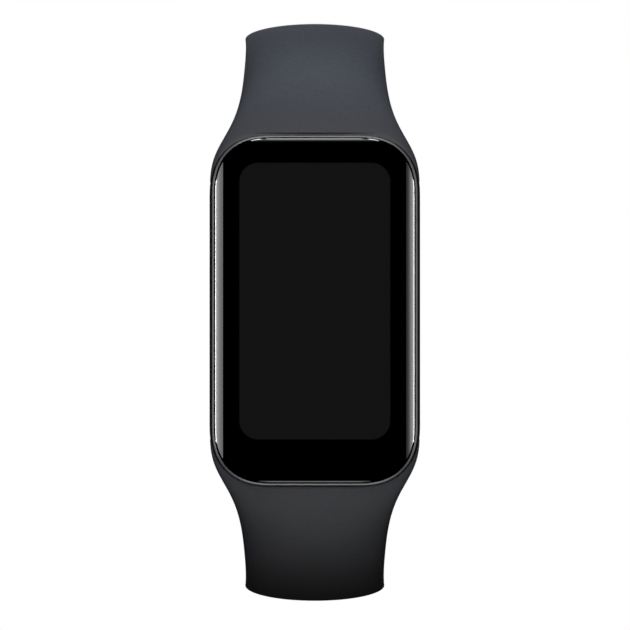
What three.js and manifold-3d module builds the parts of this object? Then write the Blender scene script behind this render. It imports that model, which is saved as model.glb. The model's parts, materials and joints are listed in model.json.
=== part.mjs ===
// Fitness tracker band, closed as worn on the largest wrist.
// Millimetres. The display faces -Y, the 12 o'clock end points to +Z and the width runs along X.
// The origin is the middle of the wrist loop.

import * as THREE from 'three';
import { mergeVertices } from 'three/addons/utils/BufferGeometryUtils.js';
import Module from 'manifold-3d';

const wasm = await Module();
wasm.setup();

// ---------- driving dimensions ----------

const GAP = 0.3; // room left between neighbouring pieces
const OVERLAP = 0.1; // how far joined solids run into each other
const PAST = 2; // how far a cutting tool runs past the face it opens

// Facets around round pieces
const SHANK_SIDES = 12;
const SMALL_SIDES = 16;
const NECK_SIDES = 20;
const ROUND_SIDES = 24;
const DISC_SIDES = 28;
const WINDOW_SIDES = 32;

// Case
const CASE_HALF_WIDTH = 12.8;
const CASE_HALF_LENGTH = 21.4;
const CASE_FRONT = -39.0; // flat of the cover glass
const CASE_BACK = -29.0; // flat of the sensor window
const RIM_FRONT = -38.1; // front lip of the frame around the glass
const RIM_BACK = -30.0; // rear edge of the frame
const CORNER = 7.3; // how far a rounded corner reaches along each side
const CORNER_POWER = 2.4; // a circle is 2, a squarer corner is more
const CORNER_STEPS = 6;

// Frame, from the lip around the glass to the rear edge
const FRAME_LIP = { halfWidth: 12.25, halfLength: 21.05, corner: 6.9 };
const FRAME_RIM = { halfWidth: 12.45, halfLength: 21.2, corner: 7.1 };
const FRAME_BEVEL = { halfWidth: 12.7, halfLength: 21.35, y: -37.4 };
const FRAME_FLANK = { front: -35.5, back: -33.0 };
const FRAME_TUCK = { halfWidth: 12.6, halfLength: CASE_HALF_LENGTH, y: -31.0 };
const FRAME_HEEL = { halfWidth: 12.2, halfLength: 21.1, corner: 7.1 };
const CAVITY = { halfWidth: 10.9, halfLength: 19.5, corner: 6.3 };
const LEDGE = { halfWidth: 10.6, halfLength: 19.2, corner: 5.6, front: -37.0, back: -36.4 };
const COVER_SEAT = { halfWidth: 11.8, halfLength: 20.5, corner: 6.8, y: -31.8 };
const BOSS = { outerX: 11.6, front: -33.3, margin: 1.5 };

// Rolled edge of the cover glass, each step with its distance behind the flat
const GLASS_STEPS = [
  { halfWidth: 10.85, halfLength: 19.75, corner: 6.0, behind: 0 },
  { halfWidth: 11.45, halfLength: 20.3, corner: 6.4, behind: 0.15 },
  { halfWidth: 11.85, halfLength: 20.65, corner: 6.7, behind: 0.5 },
  { halfWidth: 11.95, halfLength: 20.75, corner: 6.8, behind: 0.8 },
  { halfWidth: 11.95, halfLength: 20.75, corner: 6.8, behind: 1.1 },
];

// Rear cover, from its flange to the flat around the sensor window
const COVER_STEPS = [
  { halfWidth: 11.5, halfLength: 20.2, corner: 6.6, y: -30.9 },
  { halfWidth: 11.5, halfLength: 20.2, corner: 6.6, y: -30.3 },
  { halfWidth: 10.9, halfLength: 19.6, corner: 6.2, y: -29.75 },
  { halfWidth: 8.6, halfLength: 9.6, corner: 8.5, power: 2, y: -29.6 },
  { halfWidth: 7.2, halfLength: 7.2, corner: 7.1, power: 2, y: CASE_BACK },
];
const WINDOW_RADIUS = 5.5;
const WINDOW_THICK = 0.8;

// Seals and display
const GLASS_GASKET = { halfWidth: 11.85, halfLength: 20.65, corner: 6.7, wall: 0.8, y: [-37.6, -37.3] };
const CASE_SEAL = { halfWidth: 11.5, halfLength: 20.2, corner: 6.6, wall: 0.4, y: [-31.5, -31.2] };
const DISPLAY_PANEL = { halfWidth: 10.3, halfLength: 18.9, corner: 5.4, y: [-37.6, -36.9] };
const DISPLAY_BRACKET = { halfWidth: 10.2, halfLength: 18.8, corner: 5.3, y: [-36.6, -36.2] };
const FLEX = { right: 6.6, width: 6, thick: 0.2, radius: 0.6, middleY: -35.3, bendZ: -17.0, endZ: -13.4 };

// Board and its screws
const BOARD = { halfWidth: 9.4, front: -34.4, back: -33.6, bottom: -18.0, top: -1.2 };
const BOARD_TRIM = { side: 4, x: 10.6, z: -19.1 };
const SHIELD = { x: [-8.6, 0.6], z: [-12.4, -3.2], front: -35.9, wall: 0.25 };
const SCREW = { x: 8.2, z: -16.6, hole: 0.85, headRadius: 1.1, headFront: -35.2, seat: -34.7 };
const SCREW_SHANK = { radius: 0.5, tip: -32.1 };
const SCREW_SLOT = { halfLength: 0.9, halfWidth: 0.15, depth: 0.15 };

// Parts on the board and behind the sensor window
const PROCESSOR_CHIP = { x: [-7.5, -0.5], y: [-35.3, -34.7], z: [-11.3, -4.3] };
const POWER_CHIP = { x: [2.6, 6.6], y: [-35.4, -34.7], z: [-7.6, -3.6] };
const MOTION_SENSOR = { x: [3.2, 5.8], y: [-35.5, -34.7], z: [-11.8, -9.2] };
const BATTERY = { x: [-8.6, 8.6], y: [-35.2, -31.9], z: [0.3, 15.4] };
const BATTERY_PAD = { x: [-7.6, 7.6], y: [-35.9, -35.5], z: [1.3, 14.4] };
const ANTENNA = { x: [-4.0, 4.0], y: [-35.4, -32.4], z: [18.6, 19.1] };
const PHOTODIODE = { x: [-1.2, 1.2], y: [-30.7, -30.1], z: [-1.2, 1.2] };
const VIBRATION_MOTOR = { radius: 3.6, y: [-33.3, -31.2], x: -4.6, z: -10.6 };
const SENSOR_BOARD = { radius: 5.2, y: [-31.6, -31.0] };
const GREEN_LED = { radius: 0.8, y: [-30.7, -30.1], x: 3.2 };
const CONTACT = { radius: 1.0, y: [-31.3, -29.7], x: 3.0, z: -17.0 };

// Release catch, shared by the frame, the lugs and the catches
const CATCH = { halfWidth: 2.4, yMin: -32.2, yMax: -31.1, nose: 20.9, heel: 24.0 };
const CATCH_BUTTON = { halfWidth: 1.8, top: -29.95, start: 22.6 };
const CATCH_TRAVEL = 0.8;
const INSERT = { halfWidth: 6.5, yMin: -34.6, yMax: -32.5, start: 21.75, end: 24.7 };

// Wrist loop, measured on the outer face of the band
const LOOP_HALF_HEIGHT = 37.8;
const LOOP_FRONT = 41.8;
const LOOP_BACK = 25.6;
const LOOP_FRONT_POWER = 2.6;
const LOOP_BACK_POWER = 2.1;

// Band
const BAND_HALF_WIDTH = 9.0; // over the sides of the wrist and at the clasp
const NECK_HALF_WIDTH = 8.5; // just behind the shoulders
const SHOULDER_GROWTH = 4.3; // extra half width where a shoulder meets the case
const SHOULDER_START = 13.0;
const SHOULDER_REACH = 8.9;
const SHOULDER_POWER = 4.4;
const LUG_THICK = 7.9;
const BAND_THICK = 2.6;
const CLASP_THICK = 2.0;
const BAND_CROWN = 2.0;
const LANDING_CROWN = 0.4; // the flatter stretch that the tail lies on
const TAIL_CROWN = 1.1;
const TIP_ROUND = 6.0;
const TIP_POWER = 2.5;
const TIP_OFFSETS = [0.12, 0.5, 1.1, 2.0, 3.2, 4.6, TIP_ROUND]; // rings drawn closer together at a tip
const BAND_STEP = 3.2;
const ACROSS_STEPS = 8; // spans across the outer face
const EDGE_INSET = 0.4; // how far the inner face stops short of each side
const EDGE_SHARE = 0.2; // the same near a tip, as a share of the half width

// Stretches over which the band changes. Two are heights on the front, one a depth, the rest distances.
const LUG_HEIGHTS = [22, 31]; // from the lug's thickness to the band's
const TURN_HEIGHTS = [20, 31]; // from square to the case to square to the band
const NECK_DEPTHS = [4, 26]; // from the full width to the neck
const THICK_DISTANCES = [30, 50];
const CROWN_DISTANCES = [22, 50];
const LIFT_DISTANCES = [8, 24];
const NECK_EASE = 0.06; // taken off the neck, which the shoulder's growth adds back
const LUG_FLATTENING = 0.5;
const ROOT_HEIGHT = 18.7; // where a shoulder ends beside the case
const CASE_ROOM_DEPTHS = [-45, -20];

// Clasp, distances along the band from the stud
const BUCKLE_TIP = -5.6;
const TAIL_TIP = -7.0;
const BUCKLE_HINGE = 22.0;
const TAIL_HINGE = 17.5;
const FLEX_HINGE = 38.5;
const HOLE_PITCH = 7.0;
const HOLE_COUNT = 8;
const HOLE_LENGTH = 5.6;
const HOLE_WIDTH = 4.0;
const HOLE_TOOL = { outside: 3, inside: 5 };
const HINGE_BAR_LENGTH = 30;
const KNUCKLE_REACH = 2.5;
const STUD_NECK = 1.0;
const STUD_HEAD = 1.6;
const STUD_PROUD = 0.2; // above the tail's outer face
const STUD_SUNK = 0.1; // into the washer
const STUD_HEAD_HEIGHT = 1.3;
const STUD_HEAD_RINGS = [[0.1, 0.95], [0, 0.7], [0.2, 0.3], [0.8, 0.06]]; // inside the radius, below the top
const WASHER_RADIUS = 3.0;
const WASHER_THICK = 0.5;
const KEEPER_MIDDLE = 11.6;
const KEEPER_LENGTH = 4.6;
const KEEPER_WALL = 1.2;
const KEEPER_ROOM = 0.5;
const KEEPER_OUTER_ROUND = 1.8;
const KEEPER_INNER_ROUND = 0.6;
const KEEPER_CURVE_STEPS = 4;

// ---------- materials ----------

function material(color, roughness, metalness) {
  return new THREE.MeshStandardMaterial({ color, roughness, metalness });
}

const GLASS_BLACK = 0x050506;
const CASE_BLACK = 0x141416;
const BAND_CHARCOAL = 0x3e4148;
const STEEL = 0x9a9ca0;
const GOLD = 0xc9a24b;
const BOARD_GREEN = 0x14452c;
const CHIP_BLACK = 0x202124;
const FOAM_GREY = 0x4a4a4c;
const FLEX_AMBER = 0xa0561c;
const PLASTIC_GREY = 0x2c2d30;
const LED_GREEN = 0x3fbf5a;

// ---------- solids ----------

function toSolid(geometry) {
  geometry.deleteAttribute('normal');
  geometry.deleteAttribute('uv');
  const merged = mergeVertices(geometry, 1e-5);
  const vertProperties = new Float32Array(merged.attributes.position.array);
  const triVerts = new Uint32Array(merged.index.array);
  return new wasm.Manifold(new wasm.Mesh({ numProp: 3, vertProperties, triVerts }));
}

function toGeometry(solid) {
  const mesh = solid.getMesh();
  const geometry = new THREE.BufferGeometry();
  geometry.setAttribute('position', new THREE.BufferAttribute(new Float32Array(mesh.vertProperties), 3));
  geometry.setIndex(new THREE.BufferAttribute(new Uint32Array(mesh.triVerts), 1));
  return geometry;
}

function cut(body, ...tools) {
  return tools.reduce((left, tool) => left.subtract(tool), body);
}

function signedVolume(positions, index) {
  const corner = (i) => new THREE.Vector3().fromArray(positions, 3 * index[i]);
  let total = 0;
  for (let i = 0; i < index.length; i += 3) {
    total += corner(i).dot(corner(i + 1).cross(corner(i + 2)));
  }
  return total / 6;
}

// Skins a run of rings, each with the same number of points. An open run gets a flat cap at each end.
function skin(rings, closed = false) {
  const count = rings[0].length;
  const positions = rings.flat().flatMap((point) => [point.x, point.y, point.z]);
  const index = [];
  const spans = closed ? rings.length : rings.length - 1;
  for (let i = 0; i < spans; i++) {
    const here = i * count;
    const next = ((i + 1) % rings.length) * count;
    for (let j = 0; j < count; j++) {
      const k = (j + 1) % count;
      index.push(here + j, here + k, next + k, here + j, next + k, next + j);
    }
  }
  if (!closed) {
    addCap(rings[0], 0, positions, index, true);
    addCap(rings.at(-1), (rings.length - 1) * count, positions, index, false);
  }
  if (signedVolume(positions, index) < 0) {
    index.reverse();
  }
  const geometry = new THREE.BufferGeometry();
  geometry.setAttribute('position', new THREE.Float32BufferAttribute(positions, 3));
  geometry.setIndex(index);
  return toSolid(geometry);
}

function addCap(ring, first, positions, index, flipped) {
  const middle = new THREE.Vector3();
  ring.forEach((point) => middle.add(point));
  middle.divideScalar(ring.length);
  const centre = positions.length / 3;
  positions.push(middle.x, middle.y, middle.z);
  for (let j = 0; j < ring.length; j++) {
    const k = (j + 1) % ring.length;
    const edge = flipped ? [first + k, first + j] : [first + j, first + k];
    index.push(centre, ...edge);
  }
}

function box(xMin, xMax, yMin, yMax, zMin, zMax) {
  const geometry = new THREE.BoxGeometry(xMax - xMin, yMax - yMin, zMax - zMin);
  geometry.translate((xMin + xMax) / 2, (yMin + yMax) / 2, (zMin + zMax) / 2);
  return toSolid(geometry);
}

function block({ x, y, z }) {
  return box(...x, ...y, ...z);
}

// A round bar along Y
function drum(radius, yMin, yMax, x, z, sides) {
  const geometry = new THREE.CylinderGeometry(radius, radius, yMax - yMin, sides);
  geometry.translate(x, (yMin + yMax) / 2, z);
  return toSolid(geometry);
}

// ---------- case outlines ----------

// Rounded rectangle seen from the front, at depth y
function outline(halfWidth, halfLength, y, corner = CORNER, power = CORNER_POWER) {
  const points = [];
  const quadrants = [[1, 1], [-1, 1], [-1, -1], [1, -1]];
  quadrants.forEach(([signX, signZ], quadrant) => {
    for (let i = 0; i <= CORNER_STEPS; i++) {
      const step = quadrant % 2 === 0 ? i : CORNER_STEPS - i;
      const angle = (step / CORNER_STEPS) * (Math.PI / 2);
      const x = halfWidth - corner * (1 - Math.abs(Math.cos(angle)) ** (2 / power));
      const z = halfLength - corner * (1 - Math.abs(Math.sin(angle)) ** (2 / power));
      points.push(new THREE.Vector3(signX * x, y, signZ * z));
    }
  });
  return points;
}

function outlineOf(size, y = size.y) {
  return outline(size.halfWidth, size.halfLength, y, size.corner, size.power);
}

function plate(size) {
  return skin(size.y.map((y) => outlineOf(size, y)));
}

// A flat ring, size.wall wide, whose outer edge is the given outline
function washerRing(size) {
  const inner = {
    halfWidth: size.halfWidth - size.wall,
    halfLength: size.halfLength - size.wall,
    corner: size.corner - size.wall / 2,
  };
  const [front, back] = size.y;
  const outerRings = [outlineOf(size, front), outlineOf(size, back)];
  const innerRings = [outlineOf(inner, back), outlineOf(inner, front)];
  return skin([...outerRings, ...innerRings], true);
}

// ---------- case and everything in it ----------

function mirrored(side, yMin, yMax, zNear, zFar, halfWidth) {
  const [zMin, zMax] = [side * zNear, side * zFar].sort((a, b) => a - b);
  return box(-halfWidth, halfWidth, yMin, yMax, zMin, zMax);
}

function catchNotch(side) {
  const { halfWidth, yMin, yMax, nose } = CATCH;
  return mirrored(side, yMin - GAP, yMax + GAP, nose - GAP, CASE_HALF_LENGTH + 1, halfWidth + GAP);
}

// A hole for a board screw, between two depths
function screwHole(side, yMin, yMax) {
  return drum(SCREW.hole, yMin - PAST, yMax + PAST, side * SCREW.x, SCREW.z, SMALL_SIDES);
}

// Post behind the board that a screw bites into, joined to the wall of the frame
function screwBoss(side) {
  const x = [side * (SCREW.x - BOSS.margin), side * BOSS.outerX].sort((a, b) => a - b);
  const post = block({ x, y: [BOSS.front, COVER_SEAT.y], z: [SCREW.z - BOSS.margin, SCREW.z + BOSS.margin] });
  return cut(post, screwHole(side, BOSS.front, COVER_SEAT.y));
}

function bezelFrame() {
  const ring = skin([
    outlineOf(FRAME_LIP, RIM_FRONT),
    outlineOf(FRAME_RIM, RIM_FRONT),
    outlineOf(FRAME_BEVEL),
    outline(CASE_HALF_WIDTH, CASE_HALF_LENGTH, FRAME_FLANK.front),
    outline(CASE_HALF_WIDTH, CASE_HALF_LENGTH, FRAME_FLANK.back),
    outlineOf(FRAME_TUCK),
    outlineOf(FRAME_HEEL, RIM_BACK),
    outlineOf(COVER_SEAT, RIM_BACK),
    outlineOf(COVER_SEAT),
    outlineOf(CAVITY, COVER_SEAT.y),
    outlineOf(CAVITY, LEDGE.back),
    outlineOf(LEDGE, LEDGE.back),
    outlineOf(LEDGE, LEDGE.front),
    outlineOf(FRAME_LIP, LEDGE.front),
  ], true);
  const joined = ring.add(screwBoss(-1)).add(screwBoss(1));
  return cut(joined, catchNotch(1), catchNotch(-1));
}

function coverGlass() {
  return skin(GLASS_STEPS.map((step) => outlineOf(step, CASE_FRONT + step.behind)));
}

function rearCover() {
  const shell = skin(COVER_STEPS.map((step) => outlineOf(step)));
  const flange = COVER_STEPS[0].y;
  const opening = (radius, x, z, sides) => drum(radius + GAP, flange - PAST, CASE_BACK + PAST, x, z, sides);
  const contacts = [-1, 1].map((side) => opening(CONTACT.radius, side * CONTACT.x, CONTACT.z, SMALL_SIDES));
  return cut(shell, opening(WINDOW_RADIUS, 0, 0, WINDOW_SIDES), ...contacts);
}

function mainBoard() {
  const { halfWidth, front, back, bottom, top } = BOARD;
  const blank = box(-halfWidth, halfWidth, front, back, bottom, top);
  const holes = [-1, 1].map((side) => screwHole(side, front, back));
  return cut(blank, ...holes, boardTrim(-1), boardTrim(1));
}

// Trims the board where a corner of the case comes in
function boardTrim(side) {
  const geometry = new THREE.BoxGeometry(BOARD_TRIM.side, BOARD_TRIM.side, BOARD_TRIM.side);
  geometry.rotateY(Math.PI / 4);
  geometry.translate(side * BOARD_TRIM.x, BOARD.front, BOARD_TRIM.z);
  return toSolid(geometry);
}

// A tray over the chips, open towards the board
function shieldCan() {
  const { x, z, front, wall } = SHIELD;
  const inset = ([min, max]) => [min + wall, max - wall];
  const outer = block({ x, y: [front, BOARD.front - GAP], z });
  const inner = block({ x: inset(x), y: [front + wall, BOARD.front], z: inset(z) });
  return cut(outer, inner);
}

// A flat ribbon folded once, seen from the side as a U
function displayFlex() {
  const { right, width, thick, radius, middleY, bendZ, endZ } = FLEX;
  const shape = new THREE.Shape();
  shape.moveTo(middleY - radius, -endZ);
  shape.lineTo(middleY - radius, -bendZ);
  shape.absarc(middleY, -bendZ, radius, Math.PI, 0, true);
  shape.lineTo(middleY + radius, -endZ);
  shape.lineTo(middleY + radius - thick, -endZ);
  shape.lineTo(middleY + radius - thick, -bendZ);
  shape.absarc(middleY, -bendZ, radius - thick, 0, Math.PI, false);
  shape.lineTo(middleY - radius + thick, -endZ);
  shape.closePath();
  const options = { depth: width, bevelEnabled: false, curveSegments: CORNER_STEPS };
  const geometry = new THREE.ExtrudeGeometry(shape, options);
  const turn = new THREE.Matrix4().makeBasis(
    new THREE.Vector3(0, 1, 0),
    new THREE.Vector3(0, 0, -1),
    new THREE.Vector3(-1, 0, 0),
  );
  geometry.applyMatrix4(turn);
  geometry.translate(right, 0, 0);
  return toSolid(geometry);
}

function boardScrew(side) {
  const x = side * SCREW.x;
  const { halfLength, halfWidth, depth } = SCREW_SLOT;
  const head = drum(SCREW.headRadius, SCREW.headFront, SCREW.seat, x, SCREW.z, SMALL_SIDES);
  const shank = drum(SCREW_SHANK.radius, SCREW.seat - OVERLAP, SCREW_SHANK.tip, x, SCREW.z, SHANK_SIDES);
  const slot = block({
    x: [x - halfLength, x + halfLength],
    y: [SCREW.headFront - OVERLAP, SCREW.headFront + depth],
    z: [SCREW.z - halfWidth, SCREW.z + halfWidth],
  });
  return cut(head.add(shank), slot);
}

function sensorWindow() {
  return drum(WINDOW_RADIUS, CASE_BACK - WINDOW_THICK, CASE_BACK, 0, 0, WINDOW_SIDES);
}

function releaseCatch(side) {
  const { halfWidth, yMin, yMax, nose, heel } = CATCH;
  const tongue = mirrored(side, yMin, yMax, nose, heel, halfWidth);
  const { top, start, halfWidth: buttonHalfWidth } = CATCH_BUTTON;
  const button = mirrored(side, yMax - OVERLAP, top, start, heel, buttonHalfWidth);
  return tongue.add(button);
}

function lugInsert(side) {
  const { halfWidth, yMin, yMax, start, end } = INSERT;
  return mirrored(side, yMin, yMax, start, end, halfWidth);
}

// Room for the insert and the catch, as one hollow open to the case and to the wrist
function lugPocket(side) {
  const start = CASE_HALF_LENGTH - 1;
  const far = CATCH.heel + GAP + CATCH_TRAVEL;
  const insertRoom = mirrored(side, INSERT.yMin - GAP, INSERT.yMax + GAP, start, INSERT.end + GAP,
    INSERT.halfWidth + GAP);
  const tongueRoom = mirrored(side, CATCH.yMin - GAP, CATCH.yMax + GAP, start, far, CATCH.halfWidth + GAP);
  const buttonRoom = mirrored(side, CATCH.yMax, CATCH_BUTTON.top + PAST, CATCH_BUTTON.start - GAP, far,
    CATCH_BUTTON.halfWidth + GAP);
  return insertRoom.add(tongueRoom).add(buttonRoom);
}

// ---------- band ----------

// Outer line of the band in the plane x = 0, from the clasp at the back over the top to the front
class BandCurve extends THREE.Curve {
  constructor() {
    super();
    this.arcLengthDivisions = 2000;
  }

  getPoint(t, target = new THREE.Vector3()) {
    const angle = Math.PI * t;
    const [reach, power] = t < 0.5 ? [LOOP_BACK, LOOP_BACK_POWER] : [-LOOP_FRONT, LOOP_FRONT_POWER];
    const y = reach * Math.abs(Math.cos(angle)) ** (2 / power);
    const z = LOOP_HALF_HEIGHT * Math.abs(Math.sin(angle)) ** (2 / power);
    return target.set(0, y, z);
  }
}

const bandCurve = new BandCurve();
const bandLength = bandCurve.getLength();

// Runs from 0 to 1 across a range
function ease(value, [from, to]) {
  return THREE.MathUtils.smoothstep(value, from, to);
}

// Frame of the outer face at a distance from the stud. Side 1 is the upper half of the band, -1 the lower.
function bandFrame(side, distance, lift = 0) {
  const u = Math.abs(distance) / bandLength;
  const point = bandCurve.getPointAt(u);
  const along = bandCurve.getTangentAt(u);
  const beyond = distance < 0 ? -1 : 1;
  const normal = new THREE.Vector3(0, along.z, -beyond * side * along.y);
  const tangent = new THREE.Vector3(0, beyond * along.y, side * along.z);
  point.z *= beyond * side;
  point.addScaledVector(normal, lift);
  return { point, normal, tangent };
}

// Distance from the stud of the place on the front stretch at height z
function distanceAtHeight(height) {
  let near = bandLength / 2;
  let far = bandLength;
  for (let i = 0; i < 40; i++) {
    const middle = (near + far) / 2;
    const z = bandFrame(1, middle).point.z;
    if (bandFrame(1, middle).point.y > 0 || z > height) {
      near = middle;
    } else {
      far = middle;
    }
  }
  return near;
}

function shoulderHalfWidth(height, neck) {
  const ratio = Math.max(height - SHOULDER_START, 0) / SHOULDER_REACH;
  return neck + SHOULDER_GROWTH / (1 + ratio ** SHOULDER_POWER);
}

function tipFactor(distance, tip) {
  const fromTip = distance - tip;
  if (fromTip >= TIP_ROUND) {
    return 1;
  }
  return (1 - ((TIP_ROUND - fromTip) / TIP_ROUND) ** TIP_POWER) ** (1 / TIP_POWER);
}

// How far the tail half stands off the line of the buckle half
function tailLift(distance) {
  return (CLASP_THICK + GAP) * (1 - ease(distance, LIFT_DISTANCES));
}

// One cross-section: a crowned outer face over a flat inner face
function bandRing(side, distance, half) {
  const { point, normal } = bandFrame(side, distance, half.lift(distance));
  const height = Math.abs(point.z);
  const onFront = point.y < 0;
  const lug = onFront ? 1 - ease(height, LUG_HEIGHTS) : 0;
  const neck = BAND_HALF_WIDTH - (BAND_HALF_WIDTH - NECK_HALF_WIDTH) * ease(-point.y, NECK_DEPTHS);
  const plainHalfWidth = onFront ? shoulderHalfWidth(height, neck - NECK_EASE) : BAND_HALF_WIDTH;
  const halfWidth = plainHalfWidth * tipFactor(distance, half.tip);
  const plainThick = CLASP_THICK + (BAND_THICK - CLASP_THICK) * ease(distance, THICK_DISTANCES);
  const thick = plainThick + (LUG_THICK - plainThick) * lug;
  const plainCrown = half.crown + (BAND_CROWN - half.crown) * ease(distance, CROWN_DISTANCES);
  const crown = plainCrown - LUG_FLATTENING * lug;
  const turned = onFront ? ease(height, TURN_HEIGHTS) : 1;
  const inward = new THREE.Vector3(0, 1, 0).lerp(normal.clone().negate(), turned).normalize();
  if (point.y < RIM_FRONT) {
    point.y = RIM_FRONT;
  }
  const edge = Math.min(EDGE_INSET, halfWidth * EDGE_SHARE);
  const place = (x, depth) => point.clone().addScaledVector(inward, depth).setX(x);
  const ring = [];
  for (let i = 0; i <= ACROSS_STEPS; i++) {
    const across = Math.sin(((i / ACROSS_STEPS) - 0.5) * Math.PI);
    ring.push(place(halfWidth * across, crown * (1 - Math.sqrt(Math.max(0, 1 - across * across)))));
  }
  ring.push(place(halfWidth - edge, thick));
  ring.push(place(-halfWidth + edge, thick));
  return ring;
}

function bandStretch(side, from, to, half) {
  const steps = Math.max(1, Math.ceil((to - from) / BAND_STEP));
  const rings = [];
  for (let i = 0; i <= steps; i++) {
    rings.push(bandRing(side, from + ((to - from) * i) / steps, half));
  }
  return skin(rings);
}

function bandTip(side, half) {
  return skin(TIP_OFFSETS.map((offset) => bandRing(side, half.tip + offset, half)));
}

const buckleHalf = { tip: BUCKLE_TIP, crown: LANDING_CROWN, lift: () => 0 };
const tailHalf = { tip: TAIL_TIP, crown: TAIL_CROWN, lift: tailLift };

// Middle of the band's thickness at a hinge, and the radius of the knuckle there
function hingeAt(side, distance, half) {
  const ring = bandRing(side, distance, half);
  const outer = ring[ACROSS_STEPS / 2];
  const inner = ring[ACROSS_STEPS + 1];
  const centre = new THREE.Vector3(0, (outer.y + inner.y) / 2, (outer.z + inner.z) / 2);
  const radius = Math.hypot(outer.y - inner.y, outer.z - inner.z) / 2;
  return { centre, radius };
}

function hingeBar(hinge, radius) {
  const geometry = new THREE.CylinderGeometry(radius, radius, HINGE_BAR_LENGTH, ROUND_SIDES);
  geometry.rotateZ(Math.PI / 2);
  geometry.translate(0, hinge.centre.y, hinge.centre.z);
  return toSolid(geometry);
}

// The link on the far side of a hinge ends in a round knuckle
function knuckle(side, distance, half) {
  const hinge = hingeAt(side, distance, half);
  const stretch = bandStretch(side, distance - KNUCKLE_REACH, distance + KNUCKLE_REACH, half);
  return stretch.intersect(hingeBar(hinge, hinge.radius));
}

function socket(side, distance, half) {
  const hinge = hingeAt(side, distance, half);
  return hingeBar(hinge, hinge.radius + GAP);
}

// The case with room around it, which the shoulders wrap
function caseRoom() {
  return plate({
    halfWidth: CASE_HALF_WIDTH + GAP,
    halfLength: CASE_HALF_LENGTH + GAP,
    corner: CORNER + GAP / 3,
    y: CASE_ROOM_DEPTHS,
  });
}

function bandRoot(side, from, half) {
  const end = distanceAtHeight(ROOT_HEIGHT);
  return cut(bandStretch(side, from, end, half), caseRoom(), lugPocket(side), socket(side, from, half));
}

function adjustHole(index) {
  const { point, normal, tangent } = bandFrame(-1, index * HOLE_PITCH, tailLift(index * HOLE_PITCH));
  const radius = HOLE_WIDTH / 2;
  const straight = HOLE_LENGTH / 2 - radius;
  const shape = new THREE.Shape();
  shape.absarc(0, straight, radius, 0, Math.PI, false);
  shape.absarc(0, -straight, radius, Math.PI, 2 * Math.PI, false);
  shape.closePath();
  const depth = HOLE_TOOL.inside + HOLE_TOOL.outside;
  const options = { depth, bevelEnabled: false, curveSegments: ACROSS_STEPS };
  const geometry = new THREE.ExtrudeGeometry(shape, options);
  geometry.translate(0, 0, -HOLE_TOOL.inside);
  const across = new THREE.Vector3().crossVectors(tangent, normal);
  const basis = new THREE.Matrix4().makeBasis(across, tangent, normal).setPosition(point);
  geometry.applyMatrix4(basis);
  return toSolid(geometry);
}

const adjustHoles = Array.from({ length: HOLE_COUNT }, (_, index) => adjustHole(index));

function upperStrapEnd() {
  const body = bandStretch(1, BUCKLE_TIP + TIP_ROUND, BUCKLE_HINGE, buckleHalf)
    .add(bandTip(1, buckleHalf))
    .add(knuckle(1, BUCKLE_HINGE, buckleHalf));
  const innerFace = LOOP_BACK - CLASP_THICK;
  const neckHole = drum(STUD_NECK + GAP, innerFace - PAST, LOOP_BACK + PAST, 0, 0, NECK_SIDES);
  const pocketFloor = innerFace + WASHER_THICK + GAP;
  const pocket = drum(WASHER_RADIUS + GAP, innerFace - PAST, pocketFloor, 0, 0, ROUND_SIDES);
  return cut(body, neckHole, pocket);
}

function lowerStrapTail() {
  const body = bandStretch(-1, TAIL_TIP + TIP_ROUND, TAIL_HINGE, tailHalf)
    .add(bandTip(-1, tailHalf))
    .add(knuckle(-1, TAIL_HINGE, tailHalf));
  return cut(body, ...adjustHoles);
}

function lowerStrapMiddle() {
  const body = bandStretch(-1, TAIL_HINGE, FLEX_HINGE, tailHalf).add(knuckle(-1, FLEX_HINGE, tailHalf));
  return cut(body, socket(-1, TAIL_HINGE, tailHalf), ...adjustHoles);
}

function lowerStrapRoot() {
  return cut(bandRoot(-1, FLEX_HINGE, tailHalf), ...adjustHoles);
}

// Mushroom rivet, drawn about Y with its foot at the wrist side
function claspStud() {
  const foot = LOOP_BACK - CLASP_THICK + STUD_SUNK;
  const top = LOOP_BACK + GAP + CLASP_THICK + STUD_PROUD;
  const profile = [
    [0, foot],
    [STUD_NECK, foot],
    [STUD_NECK, top - STUD_HEAD_HEIGHT],
    ...STUD_HEAD_RINGS.map(([inside, below]) => [STUD_HEAD - inside, top - below]),
    [0, top],
  ].map(([radius, y]) => new THREE.Vector2(radius, y));
  return toSolid(new THREE.LatheGeometry(profile, ROUND_SIDES));
}

function studWasher() {
  const innerFace = LOOP_BACK - CLASP_THICK;
  const outerFace = innerFace + WASHER_THICK;
  const disc = drum(WASHER_RADIUS, innerFace, outerFace, 0, 0, ROUND_SIDES);
  return cut(disc, drum(STUD_NECK + GAP, innerFace - PAST, outerFace + PAST, 0, 0, NECK_SIDES));
}

function roundedRectangle(path, halfWidth, bottom, top, radius) {
  path.moveTo(halfWidth, bottom + radius);
  path.absarc(halfWidth - radius, top - radius, radius, 0, Math.PI / 2, false);
  path.absarc(-halfWidth + radius, top - radius, radius, Math.PI / 2, Math.PI, false);
  path.absarc(-halfWidth + radius, bottom + radius, radius, Math.PI, 1.5 * Math.PI, false);
  path.absarc(halfWidth - radius, bottom + radius, radius, 1.5 * Math.PI, 2 * Math.PI, false);
  return path;
}

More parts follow.
